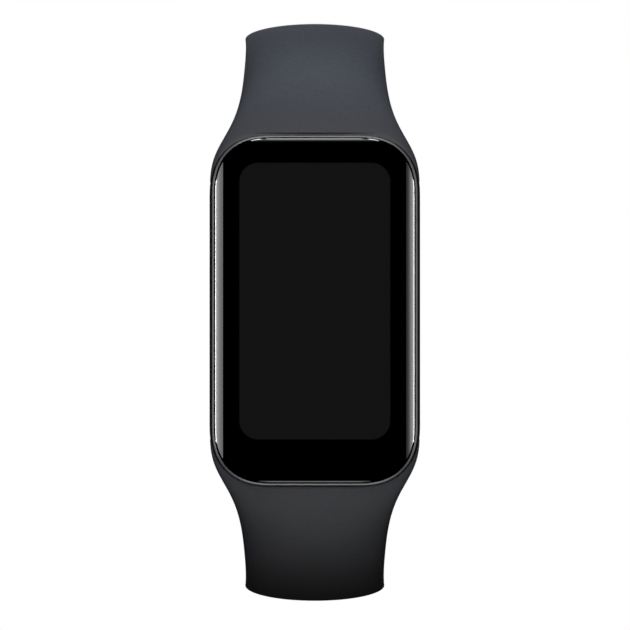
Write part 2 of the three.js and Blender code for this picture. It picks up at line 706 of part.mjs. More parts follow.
// Free loop around the buckle half, tall enough for the tail to pass under its outer bar
function keeperLoop() {
  const { point, normal, tangent } = bandFrame(1, KEEPER_MIDDLE);
  const halfWidth = BAND_HALF_WIDTH + KEEPER_ROOM;
  const bottom = -CLASP_THICK - KEEPER_ROOM;
  const top = CLASP_THICK + GAP + KEEPER_ROOM;
  const shape = roundedRectangle(new THREE.Shape(), halfWidth + KEEPER_WALL, bottom - KEEPER_WALL,
    top + KEEPER_WALL, KEEPER_OUTER_ROUND);
  shape.holes.push(roundedRectangle(new THREE.Path(), halfWidth, bottom, top, KEEPER_INNER_ROUND));
  const options = { depth: KEEPER_LENGTH, bevelEnabled: false, curveSegments: KEEPER_CURVE_STEPS };
  const geometry = new THREE.ExtrudeGeometry(shape, options);
  geometry.translate(0, 0, -KEEPER_LENGTH / 2);
  const across = new THREE.Vector3().crossVectors(normal, tangent);
  geometry.applyMatrix4(new THREE.Matrix4().makeBasis(across, normal, tangent).setPosition(point));
  return toSolid(geometry);
}

// ---------- assembly ----------

function piece(name, solid, finish) {
  const mesh = new THREE.Mesh(toGeometry(solid), finish);
  mesh.name = name;
  return mesh;
}

function caseGroup() {
  const group = new THREE.Group();
  group.add(
    piece('cover_glass', coverGlass(), material(GLASS_BLACK, 0.06, 0)),
    piece('bezel_frame', bezelFrame(), material(CASE_BLACK, 0.32, 0)),
    piece('glass_gasket', washerRing(GLASS_GASKET), material(CHIP_BLACK, 0.8, 0)),
    piece('rear_cover', rearCover(), material(CASE_BLACK, 0.38, 0)),
    piece('case_seal', washerRing(CASE_SEAL), material(FOAM_GREY, 0.9, 0)),
    piece('display_panel', plate(DISPLAY_PANEL), material(CHIP_BLACK, 0.2, 0)),
    piece('display_bracket', plate(DISPLAY_BRACKET), material(STEEL, 0.4, 0.9)),
    piece('display_flex', displayFlex(), material(FLEX_AMBER, 0.6, 0)),
  );
  return group;
}

function electronicsGroup() {
  const group = new THREE.Group();
  const chip = () => material(CHIP_BLACK, 0.6, 0);
  const { radius, y, x, z } = VIBRATION_MOTOR;
  const motor = drum(radius, ...y, x, z, DISC_SIDES);
  const sensorBoard = drum(SENSOR_BOARD.radius, ...SENSOR_BOARD.y, 0, 0, DISC_SIDES);
  group.add(
    piece('main_board', mainBoard(), material(BOARD_GREEN, 0.5, 0)),
    piece('shield_can', shieldCan(), material(STEEL, 0.35, 0.9)),
    piece('processor_chip', block(PROCESSOR_CHIP), chip()),
    piece('power_chip', block(POWER_CHIP), chip()),
    piece('motion_sensor', block(MOTION_SENSOR), chip()),
    piece('battery', block(BATTERY), material(STEEL, 0.5, 0.6)),
    piece('battery_pad', block(BATTERY_PAD), material(FOAM_GREY, 0.95, 0)),
    piece('antenna', block(ANTENNA), material(GOLD, 0.4, 0.9)),
    piece('vibration_motor', motor, material(STEEL, 0.35, 0.9)),
    piece('sensor_board', sensorBoard, material(BOARD_GREEN, 0.5, 0)),
    piece('photodiode', block(PHOTODIODE), chip()),
    piece('sensor_window', sensorWindow(), material(GLASS_BLACK, 0.08, 0)),
  );
  for (const [name, side] of [['left', -1], ['right', 1]]) {
    const led = drum(GREEN_LED.radius, ...GREEN_LED.y, side * GREEN_LED.x, 0, SMALL_SIDES);
    const contact = drum(CONTACT.radius, ...CONTACT.y, side * CONTACT.x, CONTACT.z, SMALL_SIDES);
    group.add(
      piece(`green_led_${name}`, led, material(LED_GREEN, 0.3, 0)),
      piece(`charge_contact_${name}`, contact, material(GOLD, 0.3, 1)),
      piece(`board_screw_${name}`, boardScrew(side), material(STEEL, 0.35, 1)),
    );
  }
  return group;
}

function bandGroup() {
  const group = new THREE.Group();
  const rubber = () => material(BAND_CHARCOAL, 0.72, 0);
  group.add(
    piece('upper_strap_root', bandRoot(1, BUCKLE_HINGE, buckleHalf), rubber()),
    piece('upper_strap_end', upperStrapEnd(), rubber()),
    piece('lower_strap_root', lowerStrapRoot(), rubber()),
    piece('lower_strap_middle', lowerStrapMiddle(), rubber()),
    piece('lower_strap_tail', lowerStrapTail(), rubber()),
    piece('clasp_stud', claspStud(), material(STEEL, 0.25, 1)),
    piece('stud_washer', studWasher(), material(STEEL, 0.35, 1)),
    piece('keeper_loop', keeperLoop(), rubber()),
  );
  for (const [name, side] of [['upper', 1], ['lower', -1]]) {
    group.add(
      piece(`${name}_lug_insert`, lugInsert(side), material(PLASTIC_GREY, 0.5, 0)),
      piece(`${name}_release_catch`, releaseCatch(side), material(STEEL, 0.35, 1)),
    );
  }
  return group;
}

const group = new THREE.Group();
group.add(caseGroup(), electronicsGroup(), bandGroup());

export default group;
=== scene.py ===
"""Fitness tracker band: the looks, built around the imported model.

Lengths below are millimetres in the model's frame unless a name says otherwise, and become metres when a
mesh is made. The display faces -Y, the 12 o'clock end points to +Z and the width runs along X.
"""

import json
import math

import bmesh
import bpy
import numpy as np
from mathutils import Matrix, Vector
from mathutils.geometry import tessellate_polygon

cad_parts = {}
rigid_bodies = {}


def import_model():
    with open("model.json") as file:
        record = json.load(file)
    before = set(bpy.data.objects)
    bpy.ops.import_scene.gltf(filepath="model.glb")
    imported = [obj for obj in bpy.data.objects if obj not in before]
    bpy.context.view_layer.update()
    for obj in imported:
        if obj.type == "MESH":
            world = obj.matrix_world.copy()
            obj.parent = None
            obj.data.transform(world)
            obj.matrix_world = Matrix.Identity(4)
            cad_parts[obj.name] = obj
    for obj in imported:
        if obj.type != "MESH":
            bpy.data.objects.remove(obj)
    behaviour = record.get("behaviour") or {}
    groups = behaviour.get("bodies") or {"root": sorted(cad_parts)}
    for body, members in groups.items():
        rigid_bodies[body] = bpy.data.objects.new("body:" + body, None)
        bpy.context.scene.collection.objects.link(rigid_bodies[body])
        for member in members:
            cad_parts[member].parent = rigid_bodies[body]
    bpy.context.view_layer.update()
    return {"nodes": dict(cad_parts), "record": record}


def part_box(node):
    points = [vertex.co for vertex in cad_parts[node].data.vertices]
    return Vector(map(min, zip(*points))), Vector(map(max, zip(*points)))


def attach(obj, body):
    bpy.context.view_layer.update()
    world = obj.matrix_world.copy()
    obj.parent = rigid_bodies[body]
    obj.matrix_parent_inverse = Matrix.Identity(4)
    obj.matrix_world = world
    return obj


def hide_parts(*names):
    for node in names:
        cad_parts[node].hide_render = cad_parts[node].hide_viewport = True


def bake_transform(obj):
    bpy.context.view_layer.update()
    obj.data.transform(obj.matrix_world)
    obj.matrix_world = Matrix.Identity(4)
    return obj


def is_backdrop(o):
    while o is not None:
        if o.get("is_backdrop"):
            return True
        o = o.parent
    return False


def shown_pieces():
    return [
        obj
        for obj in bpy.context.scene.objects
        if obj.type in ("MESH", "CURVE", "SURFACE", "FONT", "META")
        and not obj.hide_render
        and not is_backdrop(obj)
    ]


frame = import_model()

MM = 0.001

# ---------- driving dimensions, as in the model except where a comment says ----------

CASE_LOW, CASE_HIGH = (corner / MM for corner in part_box("bezel_frame"))
CASE_HALF_WIDTH = CASE_HIGH.x
CASE_HALF_LENGTH = CASE_HIGH.z
RIM_FRONT = CASE_LOW.y
RIM_BACK = CASE_HIGH.y
GLASS_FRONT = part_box("cover_glass")[0].y / MM
WINDOW_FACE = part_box("sensor_window")[1].y / MM
WINDOW_RADIUS = 5.5
CORNER = 7.3
CORNER_POWER = 2.4

LOOP_HALF_HEIGHT = 37.44  # the model has 37.8
LOOP_FRONT = 41.8
LOOP_BACK = 25.6
LOOP_FRONT_POWER = 2.6
LOOP_BACK_POWER = 2.1

BAND_HALF_WIDTH = 9.0
NECK_HALF_WIDTH = 8.6  # the model has 8.5
SHOULDER_GROWTH = 4.3
SHOULDER_START = 13.0
SHOULDER_REACH = 8.9
SHOULDER_POWER = 4.4
LUG_THICK = 7.9
BAND_THICK = 2.6
CLASP_THICK = 2.0
BAND_CROWN = 2.0
LANDING_CROWN = 0.4
TAIL_CROWN = 1.1
TIP_ROUND = 6.0
TIP_POWER = 2.5
TAIL_STANDOFF = 0.3  # room between the tail and the buckle half under it

# Where the band changes: heights and a depth on the front, else distances from the stud
LUG_HEIGHTS = (22, 31)
NECK_DEPTHS = (4, 26)
THICK_DISTANCES = (30, 50)
CROWN_DISTANCES = (22, 50)
LIFT_DISTANCES = (8, 24)
NECK_EASE = 0.06  # about what the shoulder's growth still adds further along the neck
LUG_FLATTENING = 0.5

BUCKLE_TIP = -5.6
TAIL_TIP = -7.0
BUCKLE_HINGE = 22.0
TAIL_HINGE = 17.5
FLEX_HINGE = 38.5
HOLE_PITCH = 7.0
HOLE_COUNT = 8
HOLE_HALF_LENGTH = 2.8
HOLE_HALF_WIDTH = 2.0
CONTACT_X = 3.0
CONTACT_Z = -17.0
CONTACT_RADIUS = 1.0
KEEPER_MIDDLE = 11.6
KEEPER_LENGTH = 4.6
KEEPER_WALL = 1.2
KEEPER_ROOM = 0.5

# Rooms for the inserts and catches: half width, depths and heights
INSERT_ROOM = (6.8, (-34.9, -32.2), (20.5, 25.0))
CATCH_ROOM = (2.7, (-32.5, -30.8), (20.5, 25.1))
BUTTON_ROOM = (2.1, (-31.1, -27.5), (22.3, 25.1))
FRAME_NOTCH = (2.7, (-32.5, -30.8), (20.6, 22.4))

# ---------- small helpers ----------

HALVINGS = 40  # steps of a search


def smoothstep(value, low, high):
    t = min(1.0, max(0.0, (value - low) / (high - low)))
    return t * t * (3 - 2 * t)


def lerp(a, b, t):
    return a + (b - a) * t


def last_place(low, high, holds):
    """The place between low and high up to which the condition holds."""
    for _ in range(HALVINGS):
        middle = (low + high) / 2
        if holds(middle):
            low = middle
        else:
            high = middle
    return low


def new_object(name, mesh):
    made = bpy.data.objects.new(name, mesh)
    bpy.context.scene.collection.objects.link(made)
    return made


def mesh_object(name, vertices, faces, smooth_angle=35):
    """An object from points in millimetres, smooth except across edges sharper than the angle."""
    mesh = bpy.data.meshes.new(name)
    mesh.from_pydata([tuple(c * MM for c in v) for v in vertices], [], faces)
    mesh.validate()
    made = new_object(name, mesh)
    tidy(mesh, smooth_angle)
    return made


def tidy(mesh, smooth_angle):
    work = bmesh.new()
    work.from_mesh(mesh)
    bmesh.ops.recalc_face_normals(work, faces=work.faces)
    limit = math.radians(smooth_angle)
    for face in work.faces:
        face.smooth = True
    for edge in work.edges:
        edge.smooth = len(edge.link_faces) == 2 and edge.calc_face_angle(0.0) < limit
    work.to_mesh(mesh)
    work.free()


def skin(rings, closed=False):
    """Faces that join rings of points. An open run gets a cap at each end."""
    count = len(rings[0])
    vertices = [point for ring in rings for point in ring]
    faces = []
    for i in range(len(rings) if closed else len(rings) - 1):
        here, there = i * count, ((i + 1) % len(rings)) * count
        for j in range(count):
            k = (j + 1) % count
            faces.append((here + j, here + k, there + k, there + j))
    if not closed:
        faces.append(tuple(reversed(range(count))))
        faces.append(tuple(range((len(rings) - 1) * count, len(rings) * count)))
    return vertices, faces


def apply_modifiers(target):
    """Makes the shape that the modifiers give the object's own mesh."""
    evaluated = target.evaluated_get(bpy.context.evaluated_depsgraph_get())
    mesh = bpy.data.meshes.new_from_object(evaluated)
    target.modifiers.clear()
    target.data = mesh


def carve(target, cutters, smooth_angle=35):
    for cutter in cutters:
        modifier = target.modifiers.new("carve", "BOOLEAN")
        modifier.operation = "DIFFERENCE"
        modifier.solver = "EXACT"
        modifier.object = cutter
    bpy.context.view_layer.update()
    apply_modifiers(target)
    tidy(target.data, smooth_angle)
    for cutter in cutters:
        bpy.data.objects.remove(cutter)


def box_cutter(x, y, z):
    """A box from (low, high) pairs."""
    rings = [[(x[0], y[0], h), (x[1], y[0], h), (x[1], y[1], h), (x[0], y[1], h)] for h in z]
    return mesh_object("cutter", *skin(rings))


def room_cutter(side, room):
    half_width, depths, heights = room
    return box_cutter((-half_width, half_width), depths, sorted(side * height for height in heights))


def circle(radius, y, middle, sides, turn=0.0):
    """Points of a circle about Y; middle is its (x, z) and turn a share of one side."""
    angles = [2 * math.pi * (i + turn) / sides for i in range(sides)]
    return [(middle[0] + radius * math.cos(a), y, middle[1] + radius * math.sin(a)) for a in angles]


def drum_cutter(radius, depths, middle=(0, 0)):
    """A round bar along Y, turned so that its points miss the points of what it cuts."""
    return mesh_object("cutter", *skin([circle(radius, y, middle, 48, turn=0.37) for y in depths]))


def lathe(name, profile, middle=(0, 0), sides=64, closed=False, smooth_angle=32):
    """Turned piece about Y from (radius, y) pairs."""
    rings = [circle(radius, y, middle, sides) for radius, y in profile]
    return mesh_object(name, *skin(rings, closed), smooth_angle=smooth_angle)


def below_top(radius, top, steps):
    """Profile from (inside the radius, below the top) pairs."""
    return [(radius - inside, top - below) for inside, below in steps]


def finish_piece(piece, slot, body=None, material=None):
    piece.data.materials.clear()
    piece.data.materials.append(material or MATERIALS[slot])
    if body:
        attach(piece, body)


# ---------- materials ----------


class Nodes:
    """A material's node tree. Each call makes a node and returns an output of it."""

    def __init__(self, name):
        self.material = bpy.data.materials.new(name)
        self.material.use_nodes = True
        self.tree = self.material.node_tree
        self.shader = next(n for n in self.tree.nodes if n.type == "BSDF_PRINCIPLED")

    def set(self, **values):
        for key, value in values.items():
            self.feed(self.shader.inputs[key.replace("_", " ")], value)

    def feed(self, socket, value):
        if isinstance(value, bpy.types.NodeSocket):
            self.tree.links.new(value, socket)
        elif isinstance(value, (tuple, list)) and len(value) == 3 and socket.type == "RGBA":
            socket.default_value = (*value, 1.0)
        else:
            socket.default_value = value

    def node(self, kind, output, inputs=None, **settings):
        made = self.tree.nodes.new(kind)
        for key, value in settings.items():
            setattr(made, key, value)
        for key, value in (inputs or {}).items():
            self.feed(made.inputs[key], value)
        return made.outputs[output]

    def place(self):
        return self.node("ShaderNodeTexCoord", "Object")

    def axes(self):
        """The object's own x, y and z."""
        split = self.tree.nodes.new("ShaderNodeSeparateXYZ")
        self.feed(split.inputs[0], self.place())
        return [split.outputs[axis] for axis in "XYZ"]

    def noise(self, scale, detail=3.0, vector=None, roughness=0.5):
        where = vector or self.place()
        return self.node("ShaderNodeTexNoise", "Fac",
                         {"Vector": where, "Scale": scale, "Detail": detail, "Roughness": roughness})

    def ranged(self, value, low, high, source=(0.35, 0.65)):
        return self.node("ShaderNodeMapRange", "Result", {
            "Value": value, "From Min": source[0], "From Max": source[1], "To Min": low, "To Max": high})

    def fade(self, value, start, end):
        """1 up to the start, 0 beyond the end."""
        return self.ranged(value, 1.0, 0.0, (start, end))

    def mix(self, factor, a, b):
        made = self.tree.nodes.new("ShaderNodeMix")
        made.data_type = "RGBA"
        for socket, value in ((made.inputs[0], factor), (made.inputs[6], a), (made.inputs[7], b)):
            self.feed(socket, value)
        return made.outputs[2]

    def math(self, operation, a, b=0.0):
        return self.node("ShaderNodeMath", "Value", {0: a, 1: b}, operation=operation)

    def length(self, a, b):
        squares = self.math("ADD", self.math("MULTIPLY", a, a), self.math("MULTIPLY", b, b))
        return self.math("SQRT", squares)

    def bump(self, height, strength, distance):
        return self.node("ShaderNodeBump", "Normal",
                         {"Height": height, "Strength": strength, "Distance": distance})


def moulded(name, tones, roughness, grain, bump):
    """Polymer or rubber: drift between two tones, fine grain and a roughness that wanders."""
    n = Nodes(name)
    drift = n.ranged(n.noise(60.0, 4.0), 0.0, 1.0)
    fine = n.noise(grain, 4.0, roughness=0.6)
    n.set(Base_Color=n.mix(drift, *tones),
          Roughness=n.ranged(n.noise(grain * 0.2, 3.0), roughness - 0.04, roughness + 0.04),
          Normal=n.bump(fine, bump, distance=0.00004))
    return n


CASE_TONES = ((0.0040, 0.0040, 0.0045), (0.006, 0.006, 0.0066))
# Light metallic tone of the front chamfer, partly a painted highlight on the black frame
RIM_HIGHLIGHT_TONE = (0.24, 0.24, 0.25)
BOARD_TONES = ((0.012, 0.075, 0.035), (0.02, 0.12, 0.055))
MASK_BLACK = (0.0003, 0.0003, 0.0004)
DISPLAY_BLACK = (0.0022, 0.0022, 0.0022)
# Painted light: faint emission on the unlit display, in place of the light its panel scatters
DISPLAY_PAINTED_GLOW = (0.0068, 0.0068, 0.0068)
LENS_BLACK = (0.004, 0.004, 0.005)
LENS_LAMP = (0.05, 0.12, 0.06)
LENS_DETECTOR = (0.035, 0.03, 0.045)
GLASS_IOR = 1.5

# The sleeping display, as drawn on the glass
DISPLAY_HALF_WIDTH = 9.17
DISPLAY_HALF_HEIGHT = 16.82
DISPLAY_CORNER = 2.3
DISPLAY_MIDDLE = 1.13  # above the middle of the case
DISPLAY_BLUR = 0.08

# What shows through the sensor window
LAMP_X = 3.2
LAMP_RADII = (0.95, 1.15)  # full colour within the first, none beyond the second
DETECTOR_HALF_SIZES = (1.2, 1.35)

RIM_FALL = 0.14  # how far the bright rim slopes back
RIM_ROUND = 0.02


def case_material():
    """Black body whose front chamfer is a satin metallic edge. Its light grey tone is partly a painted
    highlight on the black chamfer, which the rim cards also light.
    """
    n = moulded("case_black", CASE_TONES, 0.36, 7000.0, 0.06)
    edge = RIM_FRONT + RIM_FALL + RIM_ROUND
    # Mask of the front chamfer, where a light metallic tone paints on part of the rim's highlight
    rim = n.fade(n.axes()[1], edge * MM, (edge + 0.03) * MM)
    drift = n.ranged(n.noise(400.0, 4.0), 0.0, 1.0)
    body_roughness = n.ranged(n.noise(900.0), 0.34, 0.40)
    n.set(Base_Color=n.mix(rim, n.mix(drift, *CASE_TONES), RIM_HIGHLIGHT_TONE),
          Metallic=n.math("MULTIPLY", rim, 0.9),
          Roughness=n.math("ADD", n.math("MULTIPLY", rim, 0.12), body_roughness))
    return n.material


def display_mask(n):
    """1 inside the display's rounded rectangle, 0 outside, with a fine soft edge."""
    x, _, z = n.axes()
    z = n.math("SUBTRACT", z, DISPLAY_MIDDLE * MM)
    over = []
    for value, half in ((x, DISPLAY_HALF_WIDTH), (z, DISPLAY_HALF_HEIGHT)):
        beyond = n.math("SUBTRACT", n.math("ABSOLUTE", value), (half - DISPLAY_CORNER) * MM)
        over.append(n.math("MAXIMUM", beyond, 0.0))
    start, end = ((DISPLAY_CORNER + blur) * MM for blur in (-DISPLAY_BLUR, DISPLAY_BLUR))
    return n.fade(n.length(*over), start, end)


def glass_material():
    """Black-backed glass. The sleeping display shows as a slightly lighter rounded rectangle: a dark grey of
    its own plus a faint painted glow in place of the light its unlit panel scatters.
    """
    n = Nodes("cover_glass_black")
    mask = display_mask(n)
    n.set(Base_Color=n.mix(mask, MASK_BLACK, DISPLAY_BLACK),
          Roughness=n.ranged(n.noise(90.0, 5.0), 0.022, 0.045),
          # Painted glow: the unlit display area emits a little light to look lighter grey
          Emission_Color=n.mix(mask, (0.0, 0.0, 0.0), DISPLAY_PAINTED_GLOW),
          Emission_Strength=1.0)
    n.shader.inputs["IOR"].default_value = GLASS_IOR
    return n.material


def window_material():
    """Dark glass with two lamps and the light detector just visible behind it."""
    n = Nodes("sensor_window_glass")
    x, _, z = n.axes()
    aside = n.math("SUBTRACT", n.math("ABSOLUTE", x), LAMP_X * MM)
    lamp = n.fade(n.length(aside, z), *(radius * MM for radius in LAMP_RADII))
    square = n.math("MAXIMUM", n.math("ABSOLUTE", x), n.math("ABSOLUTE", z))
    detector = n.fade(square, *(size * MM for size in DETECTOR_HALF_SIZES))
    n.set(Base_Color=n.mix(detector, n.mix(lamp, LENS_BLACK, LENS_LAMP), LENS_DETECTOR),
          Roughness=n.ranged(n.noise(300.0), 0.05, 0.09))
    n.shader.inputs["IOR"].default_value = GLASS_IOR
    return n.material


def metal(name, color, roughness, grain, stretch=(1.0, 1.0, 1.0)):
    n = Nodes(name)
    mapped = n.node("ShaderNodeMapping", "Vector", {"Vector": n.place(), "Scale": stretch})
    lines = n.noise(grain, 4.0, vector=mapped)
    dull = tuple(c * 0.82 for c in color)
    n.set(Base_Color=n.mix(n.ranged(lines, 0.0, 1.0), dull, color),
          Roughness=n.ranged(lines, roughness - 0.05, roughness + 0.07),
          Metallic=1.0,
          Normal=n.bump(lines, 0.12, distance=0.00002))
    return n.material


def board_material():
    """Green solder mask with a faint pattern of tracks under it."""
    n = Nodes("solder_mask")
    tracks = n.node("ShaderNodeTexWave", "Fac", {"Vector": n.place(), "Scale": 900.0, "Distortion": 6.0})
    n.set(Base_Color=n.mix(n.ranged(tracks, 0.0, 1.0, (0.45, 0.6)), *BOARD_TONES),
          Roughness=n.ranged(n.noise(2000.0), 0.3, 0.45),
          Normal=n.bump(tracks, 0.2, distance=0.00003))
    return n.material


MOULDED = {  # name, two tones, roughness, grain, strength of the bump
    "band": ("band_rubber", ((0.0415, 0.0440, 0.0520), (0.047, 0.0495, 0.0585)), 0.64, 9000.0, 0.12),
    "chip": ("chip_epoxy", ((0.014, 0.014, 0.016), (0.024, 0.024, 0.026)), 0.55, 5000.0, 0.3),
    "foam": ("foam_grey", ((0.04, 0.04, 0.042), (0.07, 0.07, 0.072)), 0.88, 3000.0, 0.8),
    "flex": ("flex_amber", ((0.34, 0.13, 0.025), (0.44, 0.19, 0.04)), 0.35, 2500.0, 0.1),
    "led": ("lamp_epoxy", ((0.05, 0.40, 0.10), (0.09, 0.55, 0.16)), 0.18, 3000.0, 0.05),
    "dark_plastic": ("filled_polymer", ((0.02, 0.02, 0.022), (0.035, 0.035, 0.038)), 0.5, 4000.0, 0.4),
}
REAR = ("rear_black", ((0.006, 0.006, 0.007), (0.010, 0.010, 0.011)), 0.34, 6000.0, 0.14)
METALS = {  # name, colour, roughness, grain and, when it isn't even, the stretch of the grain
    "steel": ("satin_steel", (0.46, 0.46, 0.47), 0.26, 2500.0, (1.0, 1.0, 12.0)),
    "gold": ("gold_plate", (0.72, 0.50, 0.20), 0.22, 1800.0),
    "battery_foil": ("pouch_foil", (0.55, 0.55, 0.56), 0.38, 700.0),
}
MATERIALS = {slot: moulded(*values).material for slot, values in MOULDED.items()}
MATERIALS.update({slot: metal(*values) for slot, values in METALS.items()})
MATERIALS["screen_glass"] = glass_material()
MATERIALS["sensor_glass"] = window_material()
MATERIALS["case"] = case_material()
MATERIALS["board"] = board_material()
REAR_MATERIAL = moulded(*REAR).material


def dress_cad_nodes():
    """Every node that is carried over gets its slot's procedural material."""
    slots = {entry["node"]: entry["material_slot"] for entry in frame["record"]["subparts"]}
    for node, shown in frame["nodes"].items():
        for place in shown.material_slots:
            place.link = "OBJECT"
            place.material = MATERIALS[slots[node]]


# ---------- case ----------


def outline(half_width, half_length, y, corner=CORNER, power=CORNER_POWER, steps=18):
    """Rounded rectangle seen from the front, at depth y."""
    points = []
    for quadrant, (sign_x, sign_z) in enumerate(((1, 1), (-1, 1), (-1, -1), (1, -1))):
        for i in range(steps + 1):
            step = i if quadrant % 2 == 0 else steps - i
            angle = step / steps * math.pi / 2
            x = half_width - corner * (1 - abs(math.cos(angle)) ** (2 / power))
            z = half_length - corner * (1 - abs(math.sin(angle)) ** (2 / power))
            points.append((sign_x * x, y, sign_z * z))
    return points


def round_outline(radius, y):
    """A circle made as an outline. The slack keeps its quadrants' points apart."""
    slack = 0.02
    return outline(radius, radius, y, radius - slack, 2.0)


GLASS_HALF_WIDTH = 12.165
GLASS_HALF_LENGTH = 20.96
GLASS_CORNER = 6.98
GLASS_CORNER_SHRINK = 0.8  # how fast the corner tightens with the inset
SIDE_ROLL = 1.18  # width of the rolled sides
SIDE_TURN = math.radians(62)  # how far they have turned at the very edge
END_ROLL = 0.56  # the same at the 12 and 6 o'clock ends
END_TURN = math.radians(57)
GLASS_BEVEL = 0.09
GLASS_BOTTOM = -37.95
GLASS_INSETS = [1.6, 1.3, 1.14, 1.1, *(1.0 - 0.07 * i for i in range(13)), GLASS_BEVEL, 0.05, 0.0]


def rolled_drop(beyond, width, turn):
    """Fall of an arc that starts level and has turned by the given angle after its width."""
    if beyond <= 0:
        return 0.0
    radius = width / math.sin(turn)
    return radius - math.sqrt(radius * radius - min(beyond, width) ** 2)


def glass_ring(inset):
    """One outline of the front face. The sides roll along X only and the ends along Z only."""
    corner = GLASS_CORNER - GLASS_CORNER_SHRINK * inset
    half_width, half_length = GLASS_HALF_WIDTH - inset, GLASS_HALF_LENGTH - inset
    ring = []
    for x, _, z in outline(half_width, half_length, 0.0, corner, steps=44):
        drop = rolled_drop(abs(x) - (GLASS_HALF_WIDTH - SIDE_ROLL), SIDE_ROLL, SIDE_TURN)
        drop += rolled_drop(abs(z) - (GLASS_HALF_LENGTH - END_ROLL), END_ROLL, END_TURN)
        drop += max(0.0, GLASS_BEVEL - inset)
        ring.append((x, GLASS_FRONT + drop, z))
    return ring


def cover_glass():
    """Flat front, sides and ends that roll away, and a fine bevel round the very edge."""
    rings = [glass_ring(inset) for inset in GLASS_INSETS]
    rings.append([(x, GLASS_BOTTOM, z) for x, _, z in rings[-1]])
    piece = mesh_object("glass_front", *skin(rings), smooth_angle=24)
    finish_piece(piece, "screen_glass", "case")
    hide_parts("cover_glass")


# Frame section: insets from the widest outline, and depths
BELLY = 0.08  # how far the sides swell beyond the plain case width
RIM_INSET = 0.61  # the inside of the bright rim
RIM_WIDTH = 0.24
RIM_EDGE = (0.03, 0.04)  # how far its edges are eased, across and back
LIP_BACK = -37.2
SWELL_START = math.radians(14)
SWELL_END = -35.8
FLANK = (-34.6, -33.2)
TUCK_INSET = 0.75
LEDGE_INSET = 2.2
# The heel, the seat of the rear cover, the inner wall and the ledge behind the glass
INSIDE = ((0.92, RIM_BACK + 0.02), (1.0, RIM_BACK + 0.10), (1.0, -31.7), (1.9, -31.7), (1.9, -36.4),
          (LEDGE_INSET, -36.4), (LEDGE_INSET, LIP_BACK))
BEND_STEPS = 12
FRAME_CORNER_SHRINK = 0.55
END_INSETS = (0, 0.10, 0.31, 1.85)  # at the ends: outside, both sides of the rim, the ledge


def swell(start, end):
    """Points (inset, depth) that leave the start at a slant and reach the end upright."""
    first = SWELL_START
    points = []
    for i in range(1, BEND_STEPS + 1):
        angle = lerp(first, math.pi / 2, i / BEND_STEPS)
        a = (math.sin(angle) - math.sin(first)) / (1 - math.sin(first))
        b = (math.cos(first) - math.cos(angle)) / math.cos(first)
        points.append((lerp(start[0], end[0], a), lerp(start[1], end[1], b)))
    return points


def quarter(steps):
    """Shares across and along a quarter ellipse that starts upright and ends level."""
    angles = [i / steps * math.pi / 2 for i in range(1, steps + 1)]
    return [(1 - math.cos(angle), math.sin(angle)) for angle in angles]


def tuck(start, end):
    """Points (inset, depth) that leave the start upright and reach the end level."""
    return [(lerp(start[0], end[0], a), lerp(start[1], end[1], b)) for a, b in quarter(BEND_STEPS)]


def frame_section():
    """The frame's section from the lip round the outside and back along the inside."""
    rim_out = RIM_INSET - RIM_WIDTH
    rim_back = RIM_FRONT + RIM_FALL
    across, back = RIM_EDGE
    section = [(RIM_INSET, LIP_BACK), (RIM_INSET, RIM_FRONT + back), (RIM_INSET - across, RIM_FRONT)]
    section += [(rim_out + across, rim_back - RIM_ROUND), (rim_out, rim_back + RIM_ROUND)]
    section += swell(section[-1], (0.0, SWELL_END))
    section += [(0.0, y) for y in FLANK]
    section += tuck((0.0, FLANK[1]), (TUCK_INSET, RIM_BACK))
    return section + list(INSIDE)


def frame_outline(inset, y):
    ends = float(np.interp(inset, (0, RIM_INSET - RIM_WIDTH, RIM_INSET, LEDGE_INSET), END_INSETS))
    corner = CORNER + BELLY - FRAME_CORNER_SHRINK * inset
    return outline(CASE_HALF_WIDTH + BELLY - inset, CASE_HALF_LENGTH - ends, y, corner)


def bezel_frame():
    """Fine bright chamfer round the glass, softly bellied sides and a rolled rear edge."""
    rings = [frame_outline(inset, y) for inset, y in frame_section()]
    piece = mesh_object("case_frame", *skin(rings, closed=True))
    carve(piece, [room_cutter(side, FRAME_NOTCH) for side in (1, -1)], smooth_angle=26)
    finish_piece(piece, "case", "case")
    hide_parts("bezel_frame")


REAR_STEPS = (  # half width, half length, depth, corner, and the power where it isn't CORNER_POWER
    (11.66, 20.36, -30.9, 6.7),
    (11.70, 20.40, -30.35, 6.7),
    (11.64, 20.34, -30.18, 6.65),
    (11.45, 20.15, -30.02, 6.6),
    (11.1, 19.8, -29.86, 6.4),
    (10.4, 18.9, -29.74, 6.1),
    (9.6, 15.0, -29.66, 7.5, 2.1),
    (8.8, 10.0, -29.61, 8.6, 2.0),
)
PLATEAU_RADII = (8.35, 7.2)  # at its foot and at its top
PLATEAU_FOOT = -29.6
PLATEAU_STEPS = 8
WINDOW_OPENING = ((0.22, 0.0), (0.12, 0.06), (0.1, 0.2))  # beyond the window's radius, below its face
WELL_ROOM = 0.25
WELL_DEPTHS = (-32, -28)


def rear_cover():
    """Dished back with a round plateau for the sensor window and two charging wells."""
    rings = [outline(*step) for step in REAR_STEPS]
    for i in range(PLATEAU_STEPS + 1):
        t = i / PLATEAU_STEPS
        y = lerp(PLATEAU_FOOT, WINDOW_FACE, smoothstep(t, 0.0, 1.0))
        rings.append(round_outline(lerp(*PLATEAU_RADII, t), y))
    for beyond, below in WINDOW_OPENING:
        rings.append(round_outline(WINDOW_RADIUS + beyond, WINDOW_FACE - below))
    rings.append(round_outline(WINDOW_RADIUS + WINDOW_OPENING[-1][0], REAR_STEPS[0][2]))
    piece = mesh_object("rear_shell", *skin(rings, closed=True))
    radius = CONTACT_RADIUS + WELL_ROOM
    wells = [drum_cutter(radius, WELL_DEPTHS, (side * CONTACT_X, CONTACT_Z)) for side in (-1, 1)]
    carve(piece, wells, smooth_angle=30)
    finish_piece(piece, "case", "case", REAR_MATERIAL)
    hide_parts("rear_cover")


